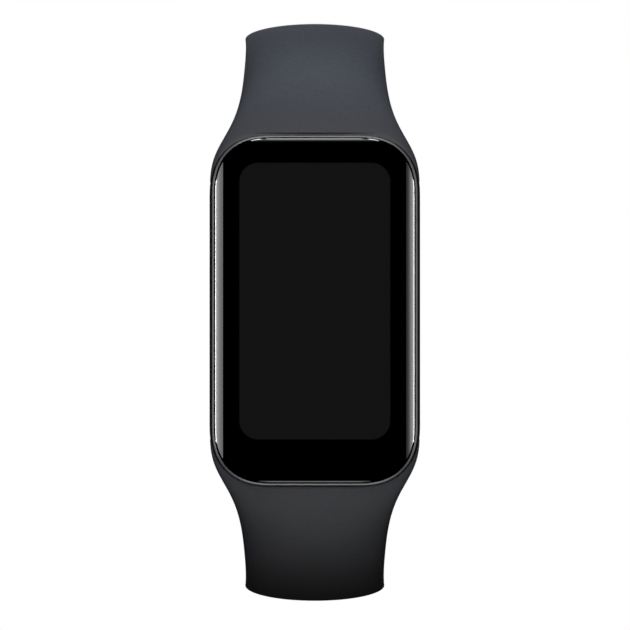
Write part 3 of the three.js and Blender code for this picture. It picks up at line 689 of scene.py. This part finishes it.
# Turned edges, as (inside the radius, below the top) pairs
WINDOW_EDGE = ((0.05, 0.8), (0.0, 0.72), (0.0, 0.12), (0.04, 0.04), (0.12, 0.0), (0.9, 0.0), (5.1, 0.0))
CONTACT_EDGE = ((0.08, 1.6), (0.0, 1.5), (0.0, 0.12), (0.05, 0.03), (0.14, 0.0), (0.4, 0.03), (0.7, 0.06),
                (0.92, 0.07))


def sensor_window():
    piece = lathe("sensor_lens", below_top(WINDOW_RADIUS, WINDOW_FACE, WINDOW_EDGE), sides=96)
    finish_piece(piece, "sensor_glass", "case")
    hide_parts("sensor_window")


def charge_contacts():
    """Gold pins with a dished end."""
    for name, side in (("left", -1), ("right", 1)):
        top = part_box(f"charge_contact_{name}")[1].y / MM
        profile = below_top(CONTACT_RADIUS, top, CONTACT_EDGE)
        piece = lathe(f"contact_pin_{name}", profile, (side * CONTACT_X, CONTACT_Z), 40)
        finish_piece(piece, "gold", "case")
        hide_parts(f"charge_contact_{name}")


GROOVE_HEIGHTS = (22.95, 23.3, 23.65)
GROOVE_HALF_WIDTH = 0.07
GROOVE_DEPTH = 0.1
CATCH_EDGE = 0.04


def release_catches():
    """The model's catches with small rounded edges and finger ridges on the button."""
    for name, side in (("upper", 1), ("lower", -1)):
        node = frame["nodes"][f"{name}_release_catch"]
        piece = new_object(f"catch_{name}", node.data.copy())
        work = bmesh.new()
        work.from_mesh(piece.data)
        bmesh.ops.remove_doubles(work, verts=work.verts, dist=1e-7)
        bmesh.ops.dissolve_limit(work, angle_limit=0.02, verts=work.verts, edges=work.edges)
        work.to_mesh(piece.data)
        work.free()
        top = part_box(f"{name}_release_catch")[1].y / MM
        grooves = []
        for height in GROOVE_HEIGHTS:
            across = (side * height - GROOVE_HALF_WIDTH, side * height + GROOVE_HALF_WIDTH)
            grooves.append(box_cutter((-3, 3), (top - GROOVE_DEPTH, top + 1), across))
        carve(piece, grooves)
        bevel = piece.modifiers.new("edges", "BEVEL")
        bevel.width = CATCH_EDGE * MM
        bevel.segments = 2
        bevel.limit_method = "ANGLE"
        bpy.context.view_layer.update()
        apply_modifiers(piece)
        tidy(piece.data, smooth_angle=40)
        finish_piece(piece, "steel", f"{name}_catch")
        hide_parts(f"{name}_release_catch")


# ---------- band ----------

CURVE_STEPS = 6000
FRONT_MARGIN = 0.12  # how far behind the rim the band stops
FRONT_EASE = 0.4


def band_table():
    """The band's outer line from the clasp over the top to the front: lengths, y and z."""
    angle = np.linspace(0.0, math.pi, CURVE_STEPS + 1)
    back = angle < math.pi / 2
    reach = np.where(back, LOOP_BACK, -LOOP_FRONT)
    power = np.where(back, LOOP_BACK_POWER, LOOP_FRONT_POWER)
    y = reach * np.abs(np.cos(angle)) ** (2 / power)
    z = LOOP_HALF_HEIGHT * np.abs(np.sin(angle)) ** (2 / power)
    steps = np.hypot(np.diff(y), np.diff(z))
    return np.concatenate(([0.0], np.cumsum(steps))), y, z


BAND_TABLE = band_table()


def band_frame(side, distance, lift=0.0):
    """Point, outward normal and tangent of the outer face. The side is 1 for the upper half, else -1."""
    length, y, z = BAND_TABLE
    near = abs(distance)
    reach = 0.05
    a, b = max(0.0, near - reach), near + reach
    along = Vector((0, np.interp(b, length, y) - np.interp(a, length, y),
                    np.interp(b, length, z) - np.interp(a, length, z))).normalized()
    if near < reach:
        along = Vector((0, 0, 1))
    beyond = -1 if distance < 0 else 1
    point = Vector((0, np.interp(near, length, y), beyond * side * np.interp(near, length, z)))
    normal = Vector((0, along.z, -beyond * side * along.y))
    tangent = Vector((0, beyond * along.y, side * along.z))
    return point + normal * lift, normal, tangent


def distance_at_height(height):
    """Distance from the stud of the place on the front stretch at that height."""

    def short_of_it(distance):
        point = band_frame(1, distance)[0]
        return point.y > 0 or point.z > height

    end = BAND_TABLE[0][-1]
    return last_place(end / 2, end, short_of_it)


class Half:
    """One half of the band: its side, its tip and how its section changes along it."""

    def __init__(self, side, tip, crown, lifted):
        self.side, self.tip, self.crown, self.lifted = side, tip, crown, lifted
        self.cache = {}

    def lift(self, distance):
        if not self.lifted:
            return 0.0
        return (CLASP_THICK + TAIL_STANDOFF) * (1 - smoothstep(distance, *LIFT_DISTANCES))

    def section(self, distance):
        """Outer point, inward direction, half width, thickness and crown."""
        key = round(distance, 6)
        if key not in self.cache:
            self.cache[key] = self.make_section(distance)
        return self.cache[key]

    def make_section(self, distance):
        point, normal, _ = band_frame(self.side, distance, self.lift(distance))
        height = abs(point.z)
        front = point.y < 0
        plain = smoothstep(height, *LUG_HEIGHTS) if front else 1.0
        lug = 1 - plain
        plain_thick = lerp(CLASP_THICK, BAND_THICK, smoothstep(distance, *THICK_DISTANCES))
        thick = lerp(plain_thick, LUG_THICK, lug)
        crown = lerp(self.crown, BAND_CROWN, smoothstep(distance, *CROWN_DISTANCES)) - LUG_FLATTENING * lug
        inward = Vector((0, 1, 0)).lerp(-normal, plain).normalized()
        half_width = BAND_HALF_WIDTH
        if front:
            half_width = self.front_half_width(point, crown * abs(inward.z))
            stop = RIM_FRONT + FRONT_MARGIN
            behind = point.y - stop
            point.y = stop + (behind + math.hypot(behind, FRONT_EASE)) / 2
        return point, inward, half_width * self.tip_factor(distance), thick, crown

    def front_half_width(self, point, edge_fall):
        """The neck, widened by the shoulder at the height of the section's edge."""
        neck = lerp(BAND_HALF_WIDTH, NECK_HALF_WIDTH, smoothstep(-point.y, *NECK_DEPTHS))
        ratio = max(abs(point.z) - edge_fall - SHOULDER_START, 0) / SHOULDER_REACH
        return neck + SHOULDER_GROWTH / (1 + ratio ** SHOULDER_POWER) - NECK_EASE

    def tip_factor(self, distance):
        left = distance - self.tip
        if left >= TIP_ROUND:
            return 1.0
        least = 0.02
        return max(least, 1 - ((TIP_ROUND - left) / TIP_ROUND) ** TIP_POWER) ** (1 / TIP_POWER)

    def share(self, column, distance):
        """The share of the half width at which a lengthwise line runs."""
        half_width = self.section(distance)[2]
        return columns(half_width)[column] / half_width

    def place(self, distance, x, depth):
        point, inward = self.section(distance)[:2]
        return Vector((x, 0, 0)) + point + inward * depth

    def drop(self, distance, x):
        """How far the crowned outer face has fallen at x."""
        half_width, crown = self.section(distance)[2], self.section(distance)[4]
        return crown * (1 - math.sqrt(max(0.0, 1 - (x / half_width) ** 2)))


UPPER = Half(1, BUCKLE_TIP, LANDING_CROWN, False)
LOWER = Half(-1, TAIL_TIP, TAIL_CROWN, True)

# Grid of the band's surface
HOLE_CELLS = 8  # along each side of the square patch round a hole
PATCH_HALF = HOLE_PITCH / 2
ROW_STEP = HOLE_PITCH / HOLE_CELLS
TIP_OFFSETS = (0.03, 0.12, 0.3, 0.6, 1.0, 1.5, 2.1, 2.8)
TIP_ROW_GAP = 0.3
SIDE_COLUMNS = 12
OUTER_COLUMNS = 2 * SIDE_COLUMNS + HOLE_CELLS + 1
FULL_PATCH_WIDTH = 8.4  # below it the middle columns close up
EDGE_STEPS = 5
INNER_COLUMNS = 4
EDGE_RADIUS = 0.55
EDGE_SHARE = 0.25  # the most of the half width it takes
CASE_ROWS = 34
JOIN_HEIGHT = 31.0  # below it the rows fan out to the case
BAND_ANGLE = 34

SEAM = 0.30  # dark gap between the case and the band at 12 and 6 o'clock
HORN_SEAM = 0.10  # the same gap at the tips of the shoulders
HORN_SHARES = (0.7, 1.0)  # of the half width, where one turns into the other
CORNER_ROOM = 0.1
CASE_SEARCH_HEIGHTS = (30.0, 14.0)


def outline_value(x, z, grow):
    """Below 0 inside the case outline grown all round, above 0 outside."""
    half_width, half_length = CASE_HALF_WIDTH + grow, CASE_HALF_LENGTH + grow
    corner = CORNER + CORNER_ROOM
    across, along = abs(x) - (half_width - corner), abs(z) - (half_length - corner)
    if across <= 0 or along <= 0:
        return max(abs(x) - half_width, abs(z) - half_length)
    return (across / corner) ** CORNER_POWER + (along / corner) ** CORNER_POWER - 1


def columns(half_width):
    """The x of each lengthwise line on the outer face, with fixed lines over the row of holes."""
    scale = min(1.0, half_width / FULL_PATCH_WIDTH)
    middle = [scale * PATCH_HALF * (2 * j / HOLE_CELLS - 1) for j in range(HOLE_CELLS + 1)]
    first = math.asin(min(0.999, middle[-1] / half_width))
    angles = [lerp(first, math.pi / 2, j / SIDE_COLUMNS) for j in range(1, SIDE_COLUMNS + 1)]
    side = [half_width * math.sin(angle) for angle in angles]
    return [-x for x in reversed(side)] + middle + side


def case_line(half, share):
    """Distance at which a lengthwise line, at that share of the half width, meets the case."""
    seam = lerp(SEAM, HORN_SEAM, smoothstep(abs(share), *HORN_SHARES))

    def outside(distance):
        section = half.section(distance)
        return outline_value(share * section[2], section[0].z, seam) > 0

    return last_place(*(distance_at_height(height) for height in CASE_SEARCH_HEIGHTS), outside)


def ring_at(half, distances):
    """One closed ring of points; distances holds each column's place along the band."""
    shares = [half.share(j, distance) for j, distance in enumerate(distances)]
    outer = []
    for share, distance in zip(shares, distances):
        x = share * half.section(distance)[2]
        outer.append(half.place(distance, x, half.drop(distance, x)))
    right = turned_edge(half, distances[-1], 1)
    left = turned_edge(half, distances[0], -1)
    inner = []
    half_width = half.section(distances[0])[2]
    for share in inner_shares(shares, 1 - edge_radius(half_width) / half_width):
        distance = float(np.interp(share, shares, distances))
        _, _, half_width, thick, _ = half.section(distance)
        inner.append(half.place(distance, share * half_width, thick))
    return outer + right + inner + left[::-1]


def turned_edge(half, distance, sign):
    """The rounded lower edge, from the widest point down to the flat inner face."""
    _, _, half_width, thick, crown = half.section(distance)
    edge = edge_radius(half_width)
    return [half.place(distance, sign * (half_width - edge * a), lerp(crown, thick, b))
            for a, b in quarter(EDGE_STEPS)]


def edge_radius(half_width):
    return min(EDGE_RADIUS, half_width * EDGE_SHARE)


def inner_shares(shares, limit):
    """Where the flat inner face's lines run, from the +X edge to the -X edge."""
    first, last = SIDE_COLUMNS, SIDE_COLUMNS + HOLE_CELLS
    right = [lerp(limit, shares[last], i / INNER_COLUMNS) for i in range(1, INNER_COLUMNS)]
    left = [lerp(shares[first], -limit, i / INNER_COLUMNS) for i in range(1, INNER_COLUMNS)]
    return right + shares[first:last + 1][::-1] + left


def tip_rows(half, until):
    rows = [half.tip + offset for offset in TIP_OFFSETS]
    return [row for row in rows if row < until - TIP_ROW_GAP]


def band_rows(low, high):
    """Even rows on the grid that the hole patches share."""
    count = round((high - low) / ROW_STEP)
    return [low + (high - low) * i / count for i in range(count + 1)]


def patch_start(rows, hole):
    """Index of the row at which the patch round a hole starts."""
    return rows.index(min(rows, key=lambda row: abs(row - (hole - PATCH_HALF))))


def fan_rows(half, start):
    """Rows that run from an even one to the case's outline, each column at its own pace."""
    at_case = distance_at_height(CASE_HALF_LENGTH)
    ends = [case_line(half, half.share(j, at_case)) for j in range(OUTER_COLUMNS)]
    return [[lerp(start, end, i / CASE_ROWS) for end in ends] for i in range(1, CASE_ROWS + 1)]


def band_piece(name, half, rows, holes=(), to_case=False):
    """A stretch of band, with rows from the tip's side on and holes at the given places."""
    spread = [[row] * OUTER_COLUMNS for row in rows]
    if to_case:
        spread += fan_rows(half, rows[-1])
    rings = [ring_at(half, distances) for distances in spread]
    count = len(rings[0])
    vertices, faces = skin(rings)
    if to_case:
        faces.pop()
        last = len(vertices) - count
        across = [[Vector((point.x, point.y, 0)) for point in rings[-1]]]
        faces += [tuple(last + k for k in triangle) for triangle in tessellate_polygon(across)]
    starts = [patch_start(rows, hole) for hole in holes]
    removed = {i * count + j for start in starts for i, j in patch_cells(start)}
    faces = [face for index, face in enumerate(faces) if index not in removed]
    for hole, start in zip(holes, starts):
        add_hole(half, hole, start, count, vertices, faces)
    return mesh_object(name, vertices, faces, smooth_angle=BAND_ANGLE)


# The place in a ring of the inner face's point under the last middle column
INNER_FIRST = OUTER_COLUMNS + EDGE_STEPS + INNER_COLUMNS - 1


def patch_cells(first_row):
    """The cells of the outer and inner faces that a hole's square takes out."""
    rows = range(first_row, first_row + HOLE_CELLS)
    return [(i, first + j) for i in rows for j in range(HOLE_CELLS) for first in (SIDE_COLUMNS, INNER_FIRST)]


def hole_edge(u, v, grow):
    """The point of the oval, grown all round, in the direction (u, v) from its middle."""
    straight = HOLE_HALF_LENGTH - HOLE_HALF_WIDTH
    length = math.hypot(u, v)
    u, v = u / length, v / length

    def inside(reach):
        return math.hypot(max(abs(reach * u) - straight, 0.0), reach * v) < HOLE_HALF_WIDTH + grow

    reach = last_place(0.0, HOLE_PITCH - 1, inside)
    return reach * u, reach * v


HOLE_RIM = 0.3  # radius of the rounded rim
# Rings from the patch down to the wall: how far towards the oval, then growth and depth in rims
HOLE_STEPS = ((0.5, 1, 0), (1, 1, 0), (1, 0.62, 0.08), (1, 0.29, 0.29), (1, 0.08, 0.62), (1, 0, 1))


def add_hole(half, middle, first_row, count, vertices, faces):
    """Fills the square left for a hole with rings down to its rounded rim and its wall."""
    outer_loop, inner_loop, square = [], [], []
    path = [(i, 0) for i in range(HOLE_CELLS)] + [(HOLE_CELLS, j) for j in range(HOLE_CELLS)]
    path += [(HOLE_CELLS - i, HOLE_CELLS - j) for i, j in path]
    for i, j in path:
        row = (first_row + i) * count
        outer_loop.append(row + SIDE_COLUMNS + j)
        inner_loop.append(row + INNER_FIRST + HOLE_CELLS - j)
        square.append((PATCH_HALF * (2 * i / HOLE_CELLS - 1), PATCH_HALF * (2 * j / HOLE_CELLS - 1)))
    steps = [(*step, True) for step in HOLE_STEPS] + [(*step, False) for step in reversed(HOLE_STEPS)]
    loops = [outer_loop]
    for towards, grow, deep, from_outer in steps:
        loop = []
        for u, v in square:
            edge_u, edge_v = hole_edge(u, v, grow * HOLE_RIM)
            along, x = lerp(u, edge_u, towards), lerp(v, edge_v, towards)
            distance = middle + along
            sunk = deep * HOLE_RIM
            depth = half.drop(distance, x) + sunk if from_outer else half.section(distance)[3] - sunk
            loop.append(len(vertices))
            vertices.append(half.place(distance, x, depth))
        loops.append(loop)
    loops.append(inner_loop)
    size = len(outer_loop)
    for a, b in zip(loops, loops[1:]):
        for m in range(size):
            n = (m + 1) % size
            faces.append((a[m], a[n], b[n], b[m]))


def lug_cutters(side):
    """Room in the band's end for the stiff insert and the release catch."""
    return [room_cutter(side, room) for room in (INSERT_ROOM, CATCH_ROOM, BUTTON_ROOM)]


def bend(half, hinge, reach):
    """Start and end of a bend, in metres, from its reach towards the case and towards the tip."""
    before, after = reach
    return [tuple(half.place(distance, 0.0, half.section(distance)[3] / 2) * MM)
            for distance in (hinge + before, hinge - after)]


BUCKLE_BEND = (20.0, 5.5)
TAIL_BEND = (13.5, 13.0)
FLEX_BEND = (14.0, 6.6)
BUCKLE_GRID_START = -2.6
WASHER_WELL_RADIUS = 3.12
WASHER_WELL_DEPTH = 0.6
NECK_HOLE_RADIUS = 1.15


def upper_band():
    """The buckle half in one piece."""
    join = distance_at_height(JOIN_HEIGHT)
    rows = tip_rows(UPPER, BUCKLE_GRID_START) + band_rows(BUCKLE_GRID_START, join)
    piece = band_piece("band_upper", UPPER, rows, to_case=True)
    inner_face = LOOP_BACK - CLASP_THICK
    washer_well = drum_cutter(WASHER_WELL_RADIUS, (inner_face - 1, inner_face + WASHER_WELL_DEPTH))
    neck_hole = drum_cutter(NECK_HOLE_RADIUS, (inner_face - 1, LOOP_BACK + 1))
    carve(piece, [washer_well, neck_hole] + lug_cutters(1), BAND_ANGLE)
    finish_piece(piece, "band")
    start, end = bend(UPPER, BUCKLE_HINGE, BUCKLE_BEND)
    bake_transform(piece)
    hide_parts("upper_strap_root", "upper_strap_end")


def lower_band():
    """The tail half in two pieces. They meet between two holes."""
    holes = [HOLE_PITCH * i for i in range(HOLE_COUNT)]
    split = 4.5 * HOLE_PITCH
    rows = tip_rows(LOWER, -PATCH_HALF) + band_rows(-PATCH_HALF, split)
    tail = band_piece("band_tail", LOWER, rows, [hole for hole in holes if hole < split])
    finish_piece(tail, "band")
    start, end = bend(LOWER, TAIL_HINGE, TAIL_BEND)
    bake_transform(tail)
    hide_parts("lower_strap_tail", "lower_strap_middle")

    holed = holes[-1] + PATCH_HALF
    rows = band_rows(split, holed) + band_rows(holed, distance_at_height(JOIN_HEIGHT))[1:]
    root = band_piece("band_lower", LOWER, rows, [hole for hole in holes if hole > split], to_case=True)
    carve(root, lug_cutters(-1), BAND_ANGLE)
    finish_piece(root, "band")
    start, end = bend(LOWER, FLEX_HINGE, FLEX_BEND)
    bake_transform(root)
    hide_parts("lower_strap_root")


# Stud: radius and distance above the foot or below the top
STUD_FOOT = ((0.9, 0.0), (1.0, 0.1))
STUD_NECK = ((1.0, 1.35), (1.08, 1.22), (1.3, 1.1))
BRIM_RADIUS = 1.28  # to the middle of the head's rounded brim, which is an ellipse
BRIM_BELOW = 0.62
BRIM_HALF_WIDTH = 0.32
BRIM_HALF_HEIGHT = 0.36
BRIM_STEPS = 8
DOME_RADII = (1.0, 0.7, 0.4, 0.1)
DOME_REACH = 1.3
DOME_RISE = 0.26
# Washer: its wrist side is rounded and has a shallow groove
WASHER_BORE = 1.2
WASHER_RADIUS = 3.0
WASHER_WRIST_SIDE = ((3.0, 0.12), (2.96, 0.04), (2.86, 0.0), (1.9, 0.0), (1.75, 0.06), (1.5, 0.06),
                     (1.35, 0.0))


def clasp_stud():
    """Polished mushroom rivet and its backing washer."""
    foot, top = (corner.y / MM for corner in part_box("clasp_stud"))
    profile = [(radius, foot + above) for radius, above in STUD_FOOT]
    profile += [(radius, top - below) for radius, below in STUD_NECK]
    for i in range(BRIM_STEPS + 1):
        angle = lerp(-0.5, 1.0, i / BRIM_STEPS) * math.pi / 2
        profile.append((BRIM_RADIUS + BRIM_HALF_WIDTH * math.cos(angle),
                        top - BRIM_BELOW + BRIM_HALF_HEIGHT * math.sin(angle)))
    for radius in DOME_RADII:
        profile.append((radius, top - DOME_RISE + DOME_RISE * math.sqrt(1 - (radius / DOME_REACH) ** 2)))
    stud = lathe("stud", profile)
    finish_piece(stud, "steel", "buckle_end")
    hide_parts("clasp_stud")

    low, high = (corner.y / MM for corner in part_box("stud_washer"))
    edge = 0.05
    profile = [(WASHER_BORE + edge, low), (WASHER_BORE, low + edge), (WASHER_BORE, high)]
    profile += [(WASHER_RADIUS - edge, high), (WASHER_RADIUS, high - edge)]
    profile += [(radius, low + above) for radius, above in WASHER_WRIST_SIDE]
    washer = lathe("washer", profile, sides=72, closed=True, smooth_angle=30)
    finish_piece(washer, "steel", "buckle_end")
    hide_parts("stud_washer")


def rounded_rectangle(left, right, low, high, radius, steps):
    """Points round a rectangle with round corners, from the middle of its right side."""
    corners = ((right - radius, high - radius), (left + radius, high - radius),
               (left + radius, low + radius), (right - radius, low + radius))
    points = []
    for turn, (x, y) in enumerate(corners):
        for i in range(steps + 1):
            angle = (turn + i / steps) * math.pi / 2
            points.append((x + radius * math.cos(angle), y + radius * math.sin(angle)))
    return points


KEEPER_EDGE_RADIUS = 0.42
KEEPER_INSIDE_RADIUS = 0.6


def keeper_loop():
    """Moulded rubber loop with softly rounded edges."""
    point, normal, tangent = band_frame(1, KEEPER_MIDDLE)
    half_width = BAND_HALF_WIDTH + KEEPER_ROOM
    low, high = -CLASP_THICK - KEEPER_ROOM, CLASP_THICK + TAIL_STANDOFF + KEEPER_ROOM
    half = KEEPER_LENGTH / 2
    rings = []
    for out, along in rounded_rectangle(0.0, KEEPER_WALL, -half, half, KEEPER_EDGE_RADIUS, 5):
        across = rounded_rectangle(-half_width - out, half_width + out, low - out, high + out,
                                   KEEPER_INSIDE_RADIUS + out, 8)
        rings.append([point + Vector((x, 0, 0)) + normal * y + tangent * along for x, y in across])
    piece = mesh_object("keeper", *skin(rings, closed=True), smooth_angle=40)
    finish_piece(piece, "band", "keeper")
    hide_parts("keeper_loop")


# ---------- camera, light and floor ----------

CAMERA_DISTANCE = 500.0  # from the glass
CAMERA_HEIGHT = -4.0
AIM_HEIGHT = -0.6
PICTURE_WIDTH = 76.6  # what the picture takes in, at the glass
SENSOR = 36.0
SHIFT = (0.0003, 0.0005)


def camera():
    data = bpy.data.cameras.new("camera")
    data.sensor_width = SENSOR
    data.lens = SENSOR * CAMERA_DISTANCE / PICTURE_WIDTH
    data.shift_x, data.shift_y = SHIFT
    made = new_object("camera", data)
    eye = Vector((0, GLASS_FRONT - CAMERA_DISTANCE, CAMERA_HEIGHT)) * MM
    target = Vector((0, GLASS_FRONT, AIM_HEIGHT)) * MM
    made.location = eye
    made.rotation_euler = (target - eye).to_track_quat("-Z", "Y").to_euler()
    bpy.context.scene.camera = made


WHITE = (1.0, 1.0, 1.0)
TOP_TINT = (0.70, 0.80, 1.0)
LIT_MIDDLE = Vector((0, -20, 0))
METAL_PIECES = ("stud", "washer", "catch_upper", "catch_lower", "contact_pin_left", "contact_pin_right")
PANEL_RADIUS = 620.0
PANEL_STEPS = 40
PANELS = (  # name, turn, span, half height, light at both ends, falloff
    ("panel_left", 180, (18.5, 138), 72, (3.5, 31.0), 2.2),
    ("panel_right", 0, (14, 138), 72, (0.6, 23.0), 1.5),
    ("panel_top", 90, (22, 126), 120, (0.0, 11.0), 1.6),
    ("panel_bottom", 270, (62, 104), 120, (1.5, 5.0), 1.5),
)
METAL_PANELS = [(f"panel_metal_{name}", turn, (70, 180), 460, (0.1, 1.4), 1.0)
                for name, turn in (("left", 180), ("right", 0))]
BAND_LIGHTS = (  # name, elevation, azimuth, distance, size, power, tint, part
    ("key", 15, 0, 700, (260, 260), 2.3),
    ("high_key", 35, 0, 700, (260, 260), 1.3),
    ("overhead", 100, 0, 600, (300, 200), 1.25, TOP_TINT, "glossy"),
    ("low_gloss", -55, 0, 600, (160, 200), 0.57, WHITE, "glossy"),
    ("underneath", -80, 0, 600, (160, 200), 0.39, WHITE, "glossy"),
    ("left_fill", 14, -150, 700, (300, 320), 4.0, WHITE, "diffuse"),
    ("right_fill", 14, 150, 700, (300, 320), 4.0, WHITE, "diffuse"),
    ("rear", 155, 0, 700, (420, 320), 5.0, WHITE, "diffuse"),
)
FRAME_LIGHTS = (  # cards that the bright rim mirrors, and a faint gloss on the black sides
    ("rim_top", 60, 0, 640, (300, 300), 2.6),
    ("rim_bottom", -60, 0, 640, (300, 300), 1.8),
    ("rim_left", 0, -60, 640, (300, 300), 1.1),
    ("rim_right", 0, 60, 640, (300, 300), 1.1),
    ("left_gloss", 8, -98, 700, (260, 160), 0.12),
    ("right_gloss", 8, 98, 700, (260, 160), 0.12),
)
METAL_LIGHTS = (("rear_metal", 135, 0, 700, (500, 320), 5.0),)
FLOOR_LIGHTS = (("floor_light", 90, 0, 1500, (1500, 1500), 30.0),)
FLOOR_HALF_SIZE = 1600.0
FLOOR_HEIGHT = -300.0
FLOOR_GLOW = 0.55


def softbox(receivers, name, elevation, azimuth, distance, size, power, tint=WHITE, part=None):
    """Soft light on its receivers only, in one part of their look ("diffuse" or "glossy") or in all.

    Azimuth 0 is the camera's side and elevation 90 is overhead."""
    up, aside = math.radians(elevation), math.radians(azimuth)
    way = Vector((math.cos(up) * math.sin(aside), -math.cos(up) * math.cos(aside), math.sin(up)))
    data = bpy.data.lights.new(name, "AREA")
    data.shape = "RECTANGLE"
    data.size, data.size_y = (s * MM for s in size)
    data.energy = power
    data.color = tint
    made = new_object(name, data)
    place = LIT_MIDDLE + way * distance
    made.location = place * MM
    made.rotation_euler = (LIT_MIDDLE - place).to_track_quat("-Z", "Y").to_euler()
    made.visible_camera = False
    made.visible_diffuse = part != "glossy"
    made.visible_glossy = part != "diffuse"
    made.light_linking.receiver_collection = receivers


def glow_material(name, ends, levels, falloff):
    """Light whose strength goes from one level to the other between two depths."""
    n = Nodes(name)
    share = n.math("POWER", n.ranged(n.axes()[1], 0.0, 1.0, ends), falloff)
    strength = n.ranged(share, *levels, (0.0, 1.0))
    n.tree.nodes.remove(n.shader)
    out = next(node for node in n.tree.nodes if node.type == "OUTPUT_MATERIAL")
    n.feed(out.inputs["Surface"], n.node("ShaderNodeEmission", "Emission", {"Strength": strength}))
    return n.material


def curved_panel(receivers, name, turn, span, half_height, levels, falloff):
    """Curved softbox beside the case, seen only in its reflections.

    turn 0 is the +X side and 90 the 12 o'clock side; span is its reach in degrees from the camera's axis.
    Its light goes from the first level, near the camera, to the second."""
    out = Vector((math.cos(math.radians(turn)), 0, math.sin(math.radians(turn))))
    along = Vector((-out.z, 0, out.x))
    vertices, faces = [], []
    for i in range(PANEL_STEPS + 1):
        angle = math.radians(lerp(*span, i / PANEL_STEPS))
        depth = GLASS_FRONT - PANEL_RADIUS * math.cos(angle)
        middle = out * (PANEL_RADIUS * math.sin(angle)) + Vector((0, depth, 0))
        vertices += [middle - along * half_height, middle + along * half_height]
        if i:
            a = 2 * i - 2
            faces.append((a, a + 1, a + 3, a + 2))
    made = mesh_object(name, vertices, faces)
    ends = [(GLASS_FRONT - PANEL_RADIUS * math.cos(math.radians(a))) * MM for a in span]
    made.data.materials.append(glow_material(f"{name}_glow", ends, levels, falloff))
    made.visible_camera = False
    made.visible_diffuse = False
    made.visible_shadow = False
    made.light_linking.receiver_collection = receivers
    made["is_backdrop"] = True


def floor():
    """Plain pale floor well below the band."""
    half, z = FLOOR_HALF_SIZE, FLOOR_HEIGHT
    vertices = [(-half, -half, z), (half, -half, z), (half, half, z), (-half, half, z)]
    made = mesh_object("floor", vertices, [(0, 1, 2, 3)])
    n = Nodes("floor_pale")
    n.set(Base_Color=(0.8, 0.8, 0.8), Roughness=0.9, Emission_Color=WHITE, Emission_Strength=FLOOR_GLOW)
    made.data.materials.append(n.material)
    made.visible_diffuse = False
    made.visible_shadow = False
    made.visible_glossy = False
    made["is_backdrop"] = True
    return made


def surroundings():
    """White world that only the camera sees."""
    scene = bpy.context.scene
    scene.view_settings.view_transform = "Standard"
    scene.world = bpy.data.worlds.new("surroundings")
    scene.world.use_nodes = True
    background = scene.world.node_tree.nodes["Background"]
    background.inputs["Color"].default_value = (*WHITE, 1.0)
    background.inputs["Strength"].default_value = 1.0
    for ray in ("diffuse", "glossy", "transmission", "scatter"):
        setattr(scene.world.cycles_visibility, ray, False)


def light(group, pieces, softboxes=(), panels=()):
    """Gives the pieces lights that nothing else receives."""
    receivers = bpy.data.collections.new(group)
    for piece in pieces:
        receivers.objects.link(piece)
    for values in panels:
        curved_panel(receivers, *values)
    for values in softboxes:
        softbox(receivers, *values)


def studio():
    """White surroundings, and lights of their own for the glass, frame, band, metal and floor."""
    surroundings()
    ground = floor()
    objects = bpy.context.scene.objects
    glass, frame_piece = objects["glass_front"], objects["case_frame"]
    others = [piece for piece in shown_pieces() if piece not in (glass, frame_piece)]
    light("lit_by_panels", [glass], panels=PANELS)
    light("lit_by_softboxes", others, BAND_LIGHTS)
    light("lit_by_frame_cards", [frame_piece], FRAME_LIGHTS)
    light("lit_by_metal_cards", [objects[name] for name in METAL_PIECES], METAL_LIGHTS, METAL_PANELS)
    light("lit_by_overhead", [ground], FLOOR_LIGHTS)


# ---------- making it ----------

cover_glass()
bezel_frame()
rear_cover()
sensor_window()
charge_contacts()
release_catches()
upper_band()
lower_band()
clasp_stud()
keeper_loop()
dress_cad_nodes()
camera()
studio()
